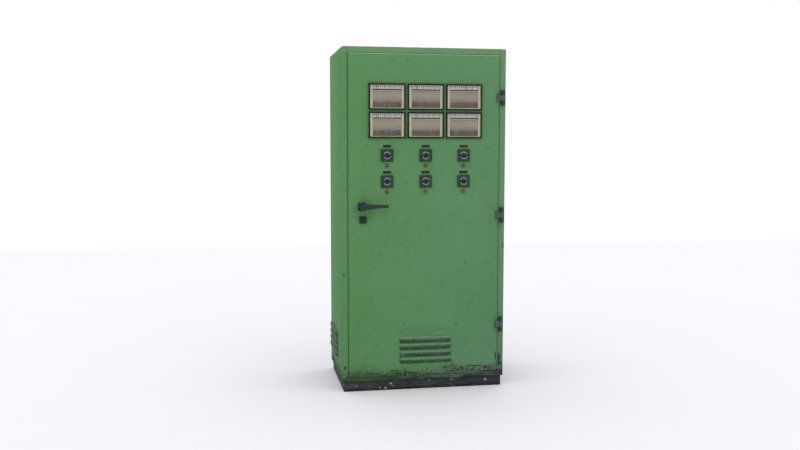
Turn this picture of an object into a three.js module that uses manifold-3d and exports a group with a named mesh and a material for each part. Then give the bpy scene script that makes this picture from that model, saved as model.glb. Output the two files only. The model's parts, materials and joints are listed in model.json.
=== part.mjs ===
// Free-standing electrical control cabinet: folded sheet-steel body on a plinth, one inset door with
// six edgewise meters, six cam switches, six pilot lamps, a lever latch with two rods and a cam lock,
// and a mounting plate with switchgear inside.
// Millimetres, +Z up, front towards -Y. Origin: floor level, centre of the whole outline.
import * as THREE from "three";
import { mergeVertices } from "three/addons/utils/BufferGeometryUtils.js";
import Module from "manifold-3d";

const wasm = await Module();
wasm.setup();

// ---------- driving dimensions ----------
// body
const cabinetWidth = 800;
const cabinetDepth = 500;
const cabinetHeight = 1650;
const bodySheet = 2;
const cornerRadius = 10;
const bendFlange = 18;
const seam = 0.3;

// plinth
const plinthHeight = 50;
const plinthInset = 9;
const plinthSheet = 3;
const plinthFlange = 20;
const anchorHole = 11;

// front frame
const frameSide = 29;
const frameTop = 28;
const frameBottom = 18;
const rebateDepth = 30;
const lipWidth = 20;

// door
const doorGap = 2;
const doorSheet = 2;
const doorProud = 2;
const doorPanDepth = 24;
const doorHem = 12;
const gasketWidth = 12;

// hinges
const hingeTopDrop = 203;
const hingeMiddleLift = 5;
const hingeBottomLift = 240;
const hingeAxisFromOpening = 14;
const hingeAxisProud = 10;
const hingeBarrel = 14;
const hingePin = 6;
const hingeLeafSheet = 3;
const hingeFrameLeafHeight = 72;
const hingeDoorLeafHeight = 40;
const hingeDoorLeafWidth = 14;
const hingeMiddleKnuckle = 27;
const hingeLeafMargin = 2;

// meters, in a grid on the door
const meterWidth = 176;
const meterHeight = 124;
const meterGapX = 11;
const meterGapZ = 9.5;
const meterTopDrop = 202.5;
const meterShift = 5; // of the middle column, from the door's middle
const meterBezelDepth = 8;
const meterBezelFlange = 4;
const meterBodyDepth = 145;
const meterBorder = 6.5;
const meterFaceRecess = 4;
const meterChartRecess = 12;
const meterSideBar = 12;
const meterChartTop = 26.5;
const meterChartBottom = -51.5;
const meterSlotHeight = 32.5;
const meterSlotWidth = 3;
const pointerStem = 2;
const pointerFlagHeight = 22;
// each pointer's place at rest, as a share of its travel from the middle of the scale
const pointerRest = [[-0.78, -0.68, 0.1], [-0.76, -0.71, 0.86]];

// cam switches, one under each meter column
const switchPlate = 60;
const switchPlateDepth = 5;
const switchPitchZ = 124;
const switchDrop = 144;
const switchRingOuter = 38;
const switchRingInner = 28;
const switchRingDepth = 4;
const switchNeck = 22;
const switchBlock = 48;
const switchBlockDepth = 55;
const knobBase = 26;
const knobGripLength = 40;
const knobGripWidth = 10;
const knobReach = 24;
const knobShaft = 6;
const knobShaftDepth = 20;

// pilot lamps, under the switches
const lampDrop = 48;
const lampBezel = 20;
const lampBezelDepth = 4;
const lampDome = 7;
const lampStem = 16;
const lampStemDepth = 30;

// lever latch with a pinion and two toothed rods
const handleFromEdge = 66;
const handleZ = 897;
const leverReach = 50;
const leverHub = 32;
const leverThickness = 14;
const leverLength = 123;
const leverRootHalf = 12;
const leverRootLift = 2;
const leverTipHalf = 6;
const leverTipLength = 12;
const leverTipLift = 3;
const bossSize = 39;
const bossDepth = 12;
const spindle = 12;
const spindleTail = 9;
const gearModule = 1.5;
const gearTeeth = 16;
const gearPressureAngle = THREE.MathUtils.degToRad(20);
const gearAddendum = 1.35;
const gearDedendum = 1.8;
const gearBacklash = 0.3;
const leverTurn = Math.PI / 2;
const rodWidth = 10;
const rodThickness = 8;
const rodEndBlock = 30;
const rodBehindLip = 10;
const rodToLip = 4;
const housingWall = 3.7;
const housingHeight = 70;
const housingFront = 5;
const guideThickness = 5;
const guideMargin = 5;
const guideFromEnd = 65;
const guideFromHousing = 330;

// cam lock
const lockFromEdge = 71;
const lockZ = 834;
const lockPlate = 34;
const lockPlateDepth = 6;
const lockBarrel = 20;
const lockPlug = 12;
const keywaySize = [2, 7];
const camWidth = 16;
const camLength = 62;
const camThickness = 3;
const camBehindLip = 1;

// pressed air vents
const ventWidth = 250;
const ventShift = 7; // from the door's middle
const ventLift = 68;
const ventPitch = 34;
const ventRows = 4;
const ventHoodHeight = 23;
const ventReach = 9;
const ventHoodSheet = 1.5;
const sideVentWidth = 290;
const sideVentFromFront = 320;

// inside
const plateWidth = 640;
const plateLift = 130;
const plateDrop = 170;
const plateSheet = 2.5;
const plateFromRear = 60;
const plateStandoff = 18;
const plateStandoffInset = 30;
const cableOpening = [400, 160];
const cableOpeningFromRear = 150;
const glandPlateMargin = 20;
const glandCount = 4;
const glandSize = 32;
const glandNut = 12;
const glandReach = [-8, 20];
const railHeight = 35;
const railDepth = 7.5;
const railSheet = 1;
const railBrim = 5;
const railLength = 560;
const railDrop = 520;
const terminalLength = 420;
const terminalHeight = 46;
const terminalDepth = 42;
const terminalPitch = 21;
const terminalShoulder = [14, 12];
const terminalGap = [1.2, 8];
const ductLength = 560;
const ductHeight = 40;
const ductDepth = 60;
const ductDrop = 390;
const ductWall = 1.6;
const ductSlotPitch = 40;
const ductSlotWidth = 6;
const ductSlotEnd = 12;
const breakerSize = [105, 85, 165];
const breakerX = -175;
const breakerDrop = 210;
const breakerNose = 14;
const breakerSlot = [4, 40];
const breakerGroove = [1.2, 2];
const toggleBehindNose = 8;
const togglePivot = 12;
const toggleSize = [9, 24, 8];
const toggleTilt = THREE.MathUtils.degToRad(15);
const transformerCore = [130, 55, 110];
const transformerCoil = [84, 92, 66];
const transformerX = 140;
const transformerLift = 240;
const transformerOffPlate = 3;
const transformerFootReach = 15;
const transformerFootSheet = [4, 3];
const transformerFootRise = 28;

// clearances
const cutoutGap = 0.5;
const runningGap = 0.3;

// ---------- places that follow from them (y is measured from the frame's front face) ----------
const halfWidth = cabinetWidth / 2;
const openingHalf = halfWidth - frameSide;
const openingTop = cabinetHeight - frameTop;
const openingBottom = plinthHeight + frameBottom;
const doorHalf = openingHalf - doorGap;
const doorTop = openingTop - doorGap;
const doorBottom = openingBottom + doorGap;
const doorFace = -doorProud;
const doorBack = doorFace + doorSheet;
const panBack = doorFace + doorPanDepth;
const onDoor = doorFace - seam;
const behindDoor = doorBack + seam;
const hingeX = openingHalf + hingeAxisFromOpening;
const hingeY = -hingeAxisProud;
const hingeMiddle = (doorTop + doorBottom) / 2 + hingeMiddleLift;
const hingeHeights = [doorBottom + hingeBottomLift, hingeMiddle, doorTop - hingeTopDrop];
const meterPitch = [meterWidth + meterGapX, meterHeight + meterGapZ];
const meterColumns = [meterShift - meterPitch[0], meterShift, meterShift + meterPitch[0]];
const meterRows = [doorTop - meterTopDrop, doorTop - meterTopDrop - meterPitch[1]];
const switchTopRow = meterRows[1] - switchDrop;
const switchRows = [switchTopRow, switchTopRow - switchPitchZ];
const meterChartWidth = meterWidth - 2 * (meterBorder + meterSideBar);
const pointerTravel = meterChartWidth / 2 - pointerStem;
const meterFront = onDoor - meterBezelDepth;
const meterFace = meterFront + meterFaceRecess;
const ringFront = onDoor - switchPlateDepth - switchRingDepth;
const handleX = -doorHalf + handleFromEdge;
const lockX = -doorHalf + lockFromEdge;
const rodFront = rebateDepth + rodBehindLip;
const rodBack = rodFront + rodThickness;
const pitchRadius = gearModule * gearTeeth / 2;
const rodInner = pitchRadius + gearDedendum;
const rodOuter = rodInner + rodWidth;
const rodTravel = pitchRadius * leverTurn;
const rodMiddle = (rodInner + rodOuter) / 2;
const upperRodEnd = openingTop - lipWidth - rodToLip - handleZ;
const lowerRodEnd = handleZ - (openingBottom + lipWidth + rodToLip);
const upperGuides = [handleZ + guideFromHousing, doorTop - guideFromEnd];
const lowerGuides = [doorBottom + guideFromEnd, handleZ - guideFromHousing];
const ventBottom = doorBottom + ventLift;
const plateBottom = plinthHeight + plateLift;
const plateTop = cabinetHeight - plateDrop;
const railZ = plateTop - railDrop;
const ductZ = plateTop - ductDrop;
const plateFront = cabinetDepth - plateFromRear;
const onPlate = plateFront - seam;
const toggleY = onPlate - breakerSize[1] + toggleBehindNose;

// ---------- finishes ----------
const finishes = {
  green: { color: 0x588a5b, roughness: 0.5, metalness: 0.1 },
  plinth: { color: 0x2c2f33, roughness: 0.7, metalness: 0.1 },
  zinc: { color: 0xa8abad, roughness: 0.45, metalness: 0.9 },
  hinge: { color: 0x3a403c, roughness: 0.6, metalness: 0.5 },
  blackMetal: { color: 0x1c2022, roughness: 0.5, metalness: 0.4 },
  steel: { color: 0x8d9296, roughness: 0.4, metalness: 1.0 },
  blackPlastic: { color: 0x17191c, roughness: 0.45, metalness: 0.0 },
  switchPlastic: { color: 0x262d2a, roughness: 0.5, metalness: 0.0 },
  meterHousing: { color: 0x2a3428, roughness: 0.55, metalness: 0.0 },
  pointer: { color: 0x141414, roughness: 0.5, metalness: 0.0 },
  redLens: { color: 0xa0301c, roughness: 0.2, metalness: 0.0 },
  rubber: { color: 0x1a1a1a, roughness: 0.85, metalness: 0.0 },
  greyPlastic: { color: 0x8e9292, roughness: 0.6, metalness: 0.0 },
  creamPlastic: { color: 0xc9c3ac, roughness: 0.6, metalness: 0.0 },
  laminations: { color: 0x44474a, roughness: 0.6, metalness: 0.6 },
};

// ---------- solids ----------
// A closed geometry becomes a solid once its shared corners are merged and empty triangles dropped.
function solid(geometry) {
  const bare = geometry.clone();
  bare.deleteAttribute("normal");
  bare.deleteAttribute("uv");
  const merged = mergeVertices(bare, 1e-4);
  const corners = merged.index.array;
  const kept = [];
  for (let i = 0; i < corners.length; i += 3) {
    const [a, b, c] = [corners[i], corners[i + 1], corners[i + 2]];
    if (a !== b && b !== c && c !== a) kept.push(a, b, c);
  }
  const vertProperties = new Float32Array(merged.attributes.position.array);
  const triVerts = new Uint32Array(kept);
  return new wasm.Manifold(new wasm.Mesh({ numProp: 3, vertProperties, triVerts }));
}

function join(solids) {
  return solids.reduce((whole, next) => whole.add(next));
}

function cut(whole, tools) {
  return tools.reduce((rest, tool) => rest.subtract(tool), whole);
}

function block([x0, x1], [y0, y1], [z0, z1]) {
  const geometry = new THREE.BoxGeometry(x1 - x0, y1 - y0, z1 - z0);
  geometry.translate((x0 + x1) / 2, (y0 + y1) / 2, (z0 + z1) / 2);
  return solid(geometry);
}

// A block centred on a point of the front elevation.
function panelBlock(x, z, width, height, [y0, y1]) {
  return block([x - width / 2, x + width / 2], [y0, y1], [z - height / 2, z + height / 2]);
}

// A round bar along Y, at a point of the front elevation.
function barAlongY(x, z, diameter, [y0, y1], sides = 20) {
  const geometry = new THREE.CylinderGeometry(diameter / 2, diameter / 2, y1 - y0, sides);
  geometry.translate(x, (y0 + y1) / 2, z);
  return solid(geometry);
}

function barAlongX(y, z, diameter, [x0, x1], sides = 12) {
  const geometry = new THREE.CylinderGeometry(diameter / 2, diameter / 2, x1 - x0, sides);
  geometry.rotateZ(Math.PI / 2);
  geometry.translate((x0 + x1) / 2, y, z);
  return solid(geometry);
}

function barAlongZ(x, y, diameter, [z0, z1], sides = 16) {
  const geometry = new THREE.CylinderGeometry(diameter / 2, diameter / 2, z1 - z0, sides);
  geometry.rotateX(Math.PI / 2);
  geometry.translate(x, y, (z0 + z1) / 2);
  return solid(geometry);
}

// An outline drawn in front elevation (x, z), given a thickness from y0 to y1.
function elevation(shape, [y0, y1], curveSegments = 6) {
  const geometry = new THREE.ExtrudeGeometry(shape, { depth: y1 - y0, bevelEnabled: false, curveSegments });
  geometry.rotateX(Math.PI / 2);
  geometry.translate(0, y1, 0);
  return solid(geometry);
}

// An outline drawn in side elevation (y, z), given a length from x0 to x1.
function sideGeometry(shape, [x0, x1]) {
  const geometry = new THREE.ExtrudeGeometry(shape, { depth: x1 - x0, bevelEnabled: false });
  geometry.applyMatrix4(new THREE.Matrix4().set(0, 0, 1, x0, 1, 0, 0, 0, 0, 1, 0, 0, 0, 0, 0, 1));
  return geometry;
}

function sideElevation(shape, length) {
  return solid(sideGeometry(shape, length));
}

function polygon(points) {
  return new THREE.Shape(points.map(([a, b]) => new THREE.Vector2(a, b)));
}

function roundedRectangle([x0, x1], [z0, z1], radius) {
  const shape = new THREE.Shape();
  shape.moveTo(x0 + radius, z0);
  shape.lineTo(x1 - radius, z0);
  shape.absarc(x1 - radius, z0 + radius, radius, -Math.PI / 2, 0);
  shape.lineTo(x1, z1 - radius);
  shape.absarc(x1 - radius, z1 - radius, radius, 0, Math.PI / 2);
  shape.lineTo(x0 + radius, z1);
  shape.absarc(x0 + radius, z1 - radius, radius, Math.PI / 2, Math.PI);
  shape.lineTo(x0, z0 + radius);
  shape.absarc(x0 + radius, z0 + radius, radius, Math.PI, 1.5 * Math.PI);
  return shape;
}

// The body's front outline: square at the foot, bent round at the two top corners.
function bodyOutline() {
  const [foot, top, r] = [plinthHeight, cabinetHeight, cornerRadius];
  const shape = new THREE.Shape();
  shape.moveTo(-halfWidth, foot);
  shape.lineTo(halfWidth, foot);
  shape.lineTo(halfWidth, top - r);
  shape.absarc(halfWidth - r, top - r, r, 0, Math.PI / 2);
  shape.lineTo(-halfWidth + r, top);
  shape.absarc(-halfWidth + r, top - r, r, Math.PI / 2, Math.PI);
  return shape;
}

// A rectangular ring in front elevation.
function ring(half, [z0, z1], width, depths) {
  const outer = block([-half, half], depths, [z0, z1]);
  const through = [depths[0] - 1, depths[1] + 1];
  const inner = block([-half + width, half - width], through, [z0 + width, z1 - width]);
  return outer.subtract(inner);
}

// ---------- meshes ----------
function part(name, whole, finish, [x, y, z] = [0, 0, 0]) {
  const { vertProperties, triVerts, numProp } = whole.getMesh();
  const geometry = new THREE.BufferGeometry();
  const positions = new Float32Array(vertProperties.length / numProp * 3);
  for (let i = 0; i < positions.length / 3; i += 1) {
    positions.set(vertProperties.subarray(i * numProp, i * numProp + 3), i * 3);
  }
  geometry.setAttribute("position", new THREE.BufferAttribute(positions, 3));
  geometry.setIndex(new THREE.BufferAttribute(new Uint32Array(triVerts), 1));
  geometry.computeVertexNormals();
  const mesh = new THREE.Mesh(geometry, new THREE.MeshStandardMaterial(finishes[finish]));
  mesh.name = name;
  mesh.position.set(x, y, z);
  return mesh;
}

// ---------- pressed vents ----------
// One hood: a curved lip that leans out of the sheet, closed at its ends and open underneath.
function hoodOutline(reach, foot, top, back) {
  const steps = 3;
  const points = [[back, foot], [-reach, foot]];
  for (let i = 0; i <= steps; i += 1) {
    const turn = (i / steps) * Math.PI / 2;
    points.push([-reach * Math.cos(turn), top - (top - foot - ventHoodSheet) * (1 - Math.sin(turn))]);
  }
  points.push([back, top]);
  return points;
}

// The vent's hoods and openings on a sheet whose outer face is at y = 0 and whose centre is x = 0.
function vent(width, sheet) {
  const hoods = [];
  const openings = [];
  for (let row = 0; row < ventRows; row += 1) {
    const foot = ventBottom + row * ventPitch;
    const top = foot + ventHoodHeight;
    const outer = hoodOutline(ventReach, foot, top, sheet / 2);
    const inner = hoodOutline(ventReach - ventHoodSheet, foot, top - ventHoodSheet, sheet + 1);
    const mouth = [[-0.01, foot - 1], [-ventReach + ventHoodSheet, foot - 1]];
    inner.splice(1, 1, [-0.01, foot], ...mouth);
    const half = width / 2;
    hoods.push({ shape: polygon(outer), length: [-half, half] });
    openings.push({ shape: polygon(inner), length: [-half + ventHoodSheet, half - ventHoodSheet] });
  }
  return { hoods, openings };
}

// Presses a vent into a sheet: turn is about Z, then the vent's outer face is moved to its place.
function pressVent(sheetSolid, width, sheet, turn, x, y) {
  const { hoods, openings } = vent(width, sheet);
  const made = ({ shape, length }) => {
    const geometry = sideGeometry(shape, length);
    geometry.rotateZ(turn);
    geometry.translate(x, y, 0);
    return solid(geometry);
  };
  return cut(join([sheetSolid, ...hoods.map(made)]), openings.map(made));
}

// ---------- body ----------
function plinthRing() {
  const half = halfWidth - plinthInset;
  const [front, rear] = [plinthInset, cabinetDepth - plinthInset];
  const top = plinthHeight - seam;
  const hollow = (width, z0, z1) =>
    block([-half + width, half - width], [front + width, rear - width], [z0, z1]);
  const whole = block([-half, half], [front, rear], [0, top]);
  const inside = hollow(plinthSheet, plinthSheet, top - plinthSheet);
  const mouth = hollow(plinthFlange, -1, plinthHeight + 1);
  const inset = plinthSheet + (plinthFlange - plinthSheet) / 2;
  const anchors = [];
  for (const x of [-half + inset, half - inset]) {
    for (const y of [front + inset, rear - inset]) {
      anchors.push(barAlongZ(x, y, anchorHole, [-1, plinthSheet + 1], 12));
    }
  }
  return cut(whole, [inside, mouth, ...anchors]);
}

// An arc of the front outline, as points.
function arcPoints(x, z, radius, from, to) {
  const steps = 5;
  const points = [];
  for (let i = 0; i <= steps; i += 1) {
    const turn = from + (to - from) * i / steps;
    points.push([x + radius * Math.cos(turn), z + radius * Math.sin(turn)]);
  }
  return points;
}

// One folded side: a flat wall, the bend at the roof with a flange, a flange at the rear, and a vent.
// side is -1 on the left and 1 on the right.
function sideWall(side) {
  const r = cornerRadius;
  const bend = [halfWidth - r, cabinetHeight - r];
  const edge = halfWidth - r - bendFlange;
  const depths = [bodySheet + seam, cabinetDepth - bodySheet - seam];
  const outline = [
    [halfWidth - bodySheet, plinthHeight], [halfWidth, plinthHeight],
    ...arcPoints(...bend, r, 0, Math.PI / 2),
    [edge, cabinetHeight], [edge, cabinetHeight - bodySheet],
    ...arcPoints(...bend, r - bodySheet, Math.PI / 2, 0),
  ];
  const wall = elevation(polygon(outline.map(([x, z]) => [side * x, z])), depths);
  const across = [side * halfWidth, side * (halfWidth - bodySheet - bendFlange)].toSorted((a, b) => a - b);
  const flange = block(across, [depths[1] - bodySheet, depths[1]], [openingBottom, openingTop]);
  const [turn, x] = [side * Math.PI / 2, side * halfWidth];
  return pressVent(wall.add(flange), sideVentWidth, bodySheet, turn, x, sideVentFromFront);
}

function roofSheet() {
  const half = halfWidth - cornerRadius - bendFlange - seam;
  const depths = [bodySheet + seam, cabinetDepth - bodySheet - seam];
  return block([-half, half], depths, [cabinetHeight - bodySheet, cabinetHeight]);
}

function rearSheet() {
  return elevation(bodyOutline(), [cabinetDepth - bodySheet, cabinetDepth], 5);
}

function cableOpeningBlock(margin, heights) {
  const [width, depth] = cableOpening;
  const middle = cabinetDepth - cableOpeningFromRear;
  return block(
    [-width / 2 - margin, width / 2 + margin],
    [middle - depth / 2 - margin, middle + depth / 2 + margin],
    heights,
  );
}

function floorSheet() {
  const half = halfWidth - bodySheet - seam;
  const depths = [bodySheet + seam, cabinetDepth - bodySheet - seam];
  const sheet = block([-half, half], depths, [plinthHeight, plinthHeight + bodySheet]);
  return sheet.subtract(cableOpeningBlock(0, [plinthHeight - 1, plinthHeight + bodySheet + 1]));
}

// The plate over the cable opening, with a row of plugged glands.
function glandPlate() {
  const bottom = plinthHeight + bodySheet + seam;
  const top = bottom + bodySheet;
  const middle = cabinetDepth - cableOpeningFromRear;
  const pitch = cableOpening[0] / glandCount;
  const solids = [cableOpeningBlock(glandPlateMargin, [bottom, top])];
  for (let i = 0; i < glandCount; i += 1) {
    const x = (i - (glandCount - 1) / 2) * pitch;
    solids.push(barAlongZ(x, middle, glandSize, [bottom, top + glandNut], 6));
    solids.push(barAlongZ(x, middle, glandSize * 0.7, [bottom + glandReach[0], top + glandReach[1]], 12));
  }
  return join(solids);
}

function frontFrame() {
  const face = elevation(bodyOutline(), [0, bodySheet], 5);
  const opening = block([-openingHalf, openingHalf], [-1, rebateDepth], [openingBottom, openingTop]);
  const wallHalf = openingHalf + bodySheet;
  const wallHeights = [openingBottom - bodySheet, openingTop + bodySheet];
  const walls = ring(wallHalf, wallHeights, bodySheet, [0, rebateDepth]);
  const lip = ring(wallHalf, wallHeights, bodySheet + lipWidth, [rebateDepth - bodySheet, rebateDepth]);
  return join([face.subtract(opening), walls, lip]);
}

// ---------- hinges ----------
function frameLeaf() {
  const outerEdge = halfWidth - hingeLeafMargin;
  const innerEdge = openingHalf + hingeLeafMargin;
  const depths = [-hingeLeafSheet - seam, -seam];
  const half = hingeFrameLeafHeight / 2;
  const gap = hingeMiddleKnuckle / 2 + runningGap;
  const leaf = panelBlock((innerEdge + outerEdge) / 2, 0, outerEdge - innerEdge, 2 * half, depths);
  const clearing = barAlongZ(hingeX, hingeY, hingeBarrel + 2 * runningGap, [-gap, gap]);
  const upper = barAlongZ(hingeX, hingeY, hingeBarrel, [gap, half]);
  const lower = barAlongZ(hingeX, hingeY, hingeBarrel, [-half, -gap]);
  const pin = barAlongZ(hingeX, hingeY, hingePin, [-half, half]);
  return join([leaf.subtract(clearing), upper, lower, pin]);
}

function doorLeaf() {
  const half = hingeMiddleKnuckle / 2;
  const edge = doorHalf - 1;
  const depths = [onDoor - hingeLeafSheet, onDoor];
  const armDepths = [hingeY + 1, -hingeLeafSheet - seam - 1];
  const leaf = panelBlock(edge - hingeDoorLeafWidth / 2, 0, hingeDoorLeafWidth, hingeDoorLeafHeight, depths);
  const arm = block([edge - hingeDoorLeafWidth / 2, hingeX], armDepths, [-half, half]);
  const knuckle = barAlongZ(hingeX, hingeY, hingeBarrel, [-half, half]);
  const bore = barAlongZ(hingeX, hingeY, hingePin + 2 * runningGap, [-half - 1, half + 1]);
  return join([leaf, arm, knuckle]).subtract(bore);
}

// ---------- door ----------
function rodGuide(side, z) {
  const x = handleX + side * rodMiddle;
  const depths = [doorFace + doorSheet / 2, rodBack + guideMargin];
  const bracket = panelBlock(x, z, rodWidth + 2 * guideMargin, guideThickness, depths);
  const slot = panelBlock(
    x, z, rodWidth + 2 * runningGap, guideThickness + 2, [rodFront - runningGap, rodBack + runningGap],
  );
  return bracket.subtract(slot);
}

function doorCutouts() {
  const through = [doorFace - 1, doorBack + 1];
  const body = [meterWidth - 2 * meterBezelFlange, meterHeight - 2 * meterBezelFlange];
  const cutouts = [];
  for (const x of meterColumns) {
    for (const z of meterRows) cutouts.push(panelBlock(x, z, ...body, through));
    for (const z of switchRows) {
      cutouts.push(barAlongY(x, z, switchNeck + 2 * cutoutGap, through, 16));
      cutouts.push(barAlongY(x, z - lampDrop, lampStem + 2 * cutoutGap, through, 16));
    }
  }
  cutouts.push(barAlongY(handleX, handleZ, spindle + 2 * cutoutGap, through));
  cutouts.push(barAlongY(lockX, lockZ, lockBarrel + 2 * cutoutGap, through));
  return cutouts;
}

// A folded pan: skin, four edges and a hem, with its cut-outs, its vent and the rod guides.
function doorPanel() {
  const heights = [doorBottom, doorTop];
  const skin = block([-doorHalf, doorHalf], [doorFace, doorBack], heights);
  const edges = ring(doorHalf, heights, doorSheet, [doorFace, panBack]);
  const hem = ring(doorHalf, heights, doorHem + doorSheet, [panBack - doorSheet, panBack]);
  const guides = [
    ...upperGuides.map((z) => rodGuide(1, z)),
    ...lowerGuides.map((z) => rodGuide(-1, z)),
  ];
  const pan = cut(join([skin, edges, hem, ...guides]), doorCutouts());
  return pressVent(pan, ventWidth, doorSheet, 0, ventShift, doorFace);
}

function doorGasket() {
  const heights = [doorBottom + doorSheet, doorTop - doorSheet];
  const depths = [panBack + seam, rebateDepth - bodySheet - seam];
  return ring(doorHalf - doorSheet, heights, gasketWidth, depths);
}

// ---------- meters ----------
function meterCase() {
  const width = meterWidth - 2 * meterBezelFlange - 2 * cutoutGap;
  const height = meterHeight - 2 * meterBezelFlange - 2 * cutoutGap;
  const inner = [meterWidth - 2 * meterBorder, meterHeight - 2 * meterBorder];
  const chartMiddle = (meterChartTop + meterChartBottom) / 2;
  const chartHeight = meterChartTop - meterChartBottom;
  const bezel = panelBlock(0, 0, meterWidth, meterHeight, [meterFront, onDoor]);
  const body = panelBlock(0, 0, width, height, [meterFace, meterFront + meterBodyDepth]);
  const face = panelBlock(0, 0, ...inner, [meterFront - 1, meterFace]);
  const chart = panelBlock(0, chartMiddle, meterChartWidth, chartHeight, [
    meterFace - 1, meterFace + meterChartRecess,
  ]);
  const slot = panelBlock(0, meterSlotHeight, meterChartWidth, meterSlotWidth, [
    meterFace - 1, meterFace + meterChartRecess,
  ]);
  return cut(join([bezel, body]), [face, chart, slot]);
}

// A flag in front of the scale on a stem that runs in the slot.
function meterPointer() {
  const depth = [meterFace - 2, meterFace + meterChartRecess - 2];
  const stem = panelBlock(0, meterSlotHeight, pointerStem, pointerStem, depth);
  const foot = meterSlotHeight - pointerStem / 2;
  const flag = block([-pointerStem / 2, pointerStem / 2], [meterFace - 2, meterFace - 1], [
    foot, foot + pointerFlagHeight,
  ]);
  return stem.add(flag);
}

// ---------- switches and lamps ----------
function switchBody() {
  const half = switchPlate / 2;
  const outline = roundedRectangle([-half, half], [-half, half], 4);
  const plate = elevation(outline, [onDoor - switchPlateDepth, onDoor], 2);
  const collar = barAlongY(0, 0, switchRingOuter, [ringFront, onDoor], 24);
  const well = barAlongY(0, 0, switchRingInner, [ringFront - 1, onDoor - switchPlateDepth], 24);
  const neck = barAlongY(0, 0, switchNeck, [onDoor - 1, behindDoor + 1], 16);
  const contacts = panelBlock(0, 0, switchBlock, switchBlock, [behindDoor, behindDoor + switchBlockDepth]);
  const bore = barAlongY(0, 0, knobShaft + 2 * cutoutGap, [ringFront, behindDoor + knobShaftDepth], 12);
  return cut(join([plate, collar, neck, contacts]), [well, bore]);
}

function switchKnob() {
  const rear = onDoor - switchPlateDepth - runningGap;
  const gripRear = ringFront - 2 * runningGap;
  const half = [knobGripLength / 2, knobGripWidth / 2];
  const grip = elevation(
    roundedRectangle([-half[0], half[0]], [-half[1], half[1]], knobGripWidth * 0.4),
    [-knobReach, gripRear],
    3,
  );
  const base = barAlongY(0, 0, knobBase, [gripRear - 4, rear]);
  const shaft = barAlongY(0, 0, knobShaft, [rear - 1, behindDoor + knobShaftDepth - 2], 12);
  return join([base, grip, shaft]);
}

function lamp() {
  const front = onDoor - lampBezelDepth;
  const radius = lampBezel / 2 - 2;
  const steps = 3;
  const profile = [new THREE.Vector2(0, front - lampDome)];
  for (let i = 1; i <= steps; i += 1) {
    const turn = (i / steps) * Math.PI / 2;
    profile.push(new THREE.Vector2(radius * Math.sin(turn), front - lampDome * Math.cos(turn)));
  }
  profile.push(new THREE.Vector2(lampBezel / 2, front));
  profile.push(new THREE.Vector2(lampBezel / 2, onDoor));
  profile.push(new THREE.Vector2(lampStem / 2, onDoor));
  profile.push(new THREE.Vector2(lampStem / 2, lampStemDepth));
  profile.push(new THREE.Vector2(0, lampStemDepth));
  return solid(new THREE.LatheGeometry(profile, 16));
}

// ---------- latch ----------
function gearOutline() {
  const baseRadius = pitchRadius * Math.cos(gearPressureAngle);
  const [root, tip] = [pitchRadius - gearDedendum, pitchRadius + gearAddendum];
  const involute = (radius) => {
    const angle = Math.acos(Math.min(1, baseRadius / radius));
    return Math.tan(angle) - angle;
  };
  const halfPitch = (Math.PI * gearModule / 2 - gearBacklash) / 2 / pitchRadius;
  const halfAngle = (radius) => halfPitch + involute(pitchRadius) - involute(Math.max(radius, baseRadius));
  const steps = 2;
  const radii = [root];
  for (let i = 0; i <= steps; i += 1) radii.push(baseRadius + (tip - baseRadius) * i / steps);
  const points = [];
  for (let tooth = 0; tooth < gearTeeth; tooth += 1) {
    const middle = tooth * 2 * Math.PI / gearTeeth;
    const rising = radii.map((radius) => [radius, middle - halfAngle(radius)]);
    const falling = radii.toReversed().map((radius) => [radius, middle + halfAngle(radius)]);
    for (const [radius, angle] of [...rising, ...falling]) {
      points.push([radius * Math.cos(angle), radius * Math.sin(angle)]);
    }
  }
  return polygon(points);
}

// A flat rod at the pinion's right, rising to its end, with rack teeth where it meets the pinion.
function rackOutline(end) {
  const pitch = Math.PI * gearModule;
  const half = (pitch / 2 - gearBacklash) / 2;
  const slope = Math.tan(gearPressureAngle);
  const reach = 7;
  const first = -Math.ceil((rodTravel + reach) / pitch);
  const last = Math.ceil(reach / pitch) - 1;
  const points = [[rodOuter, (first - 0.5) * pitch], [rodOuter, end], [rodInner, end]];
  for (let tooth = last; tooth >= first; tooth -= 1) {
    const middle = (tooth + 0.5) * pitch;
    const [rootHalf, tipHalf] = [half + gearDedendum * slope, half - gearAddendum * slope];
    points.push([rodInner, middle + rootHalf]);
    points.push([pitchRadius - gearAddendum, middle + tipHalf]);
    points.push([pitchRadius - gearAddendum, middle - tipHalf]);
    points.push([rodInner, middle - rootHalf]);
  }
  points.push([rodInner, (first - 0.5) * pitch]);
  return points;
}

// side 1 is the rising rod at the right of the pinion, side -1 the falling rod at its left.
function latchRod(side, end) {
  const outline = polygon(rackOutline(end).map(([x, z]) => [side * x, side * z]));
  const across = [rodInner * side, rodOuter * side].toSorted((a, b) => a - b);
  const along = [(end - rodEndBlock) * side, end * side].toSorted((a, b) => a - b);
  const hook = block(across, [rebateDepth + camBehindLip, rodBack], along);
  return elevation(outline, [rodFront, rodBack]).add(hook);
}

function leverOutline() {
  const [neck, shoulder] = [leverLength - leverTipLength, leverHub * 0.55];
  return polygon([
    [0, -leverHub / 2], [shoulder, -leverRootHalf], [neck, leverTipLift - leverTipHalf],
    [leverLength, leverTipLift - leverTipHalf], [leverLength, leverTipLift + leverTipHalf],
    [neck, leverTipLift + leverTipHalf], [shoulder, leverRootHalf + leverRootLift], [0, leverHub / 2],
  ]);
}

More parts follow.
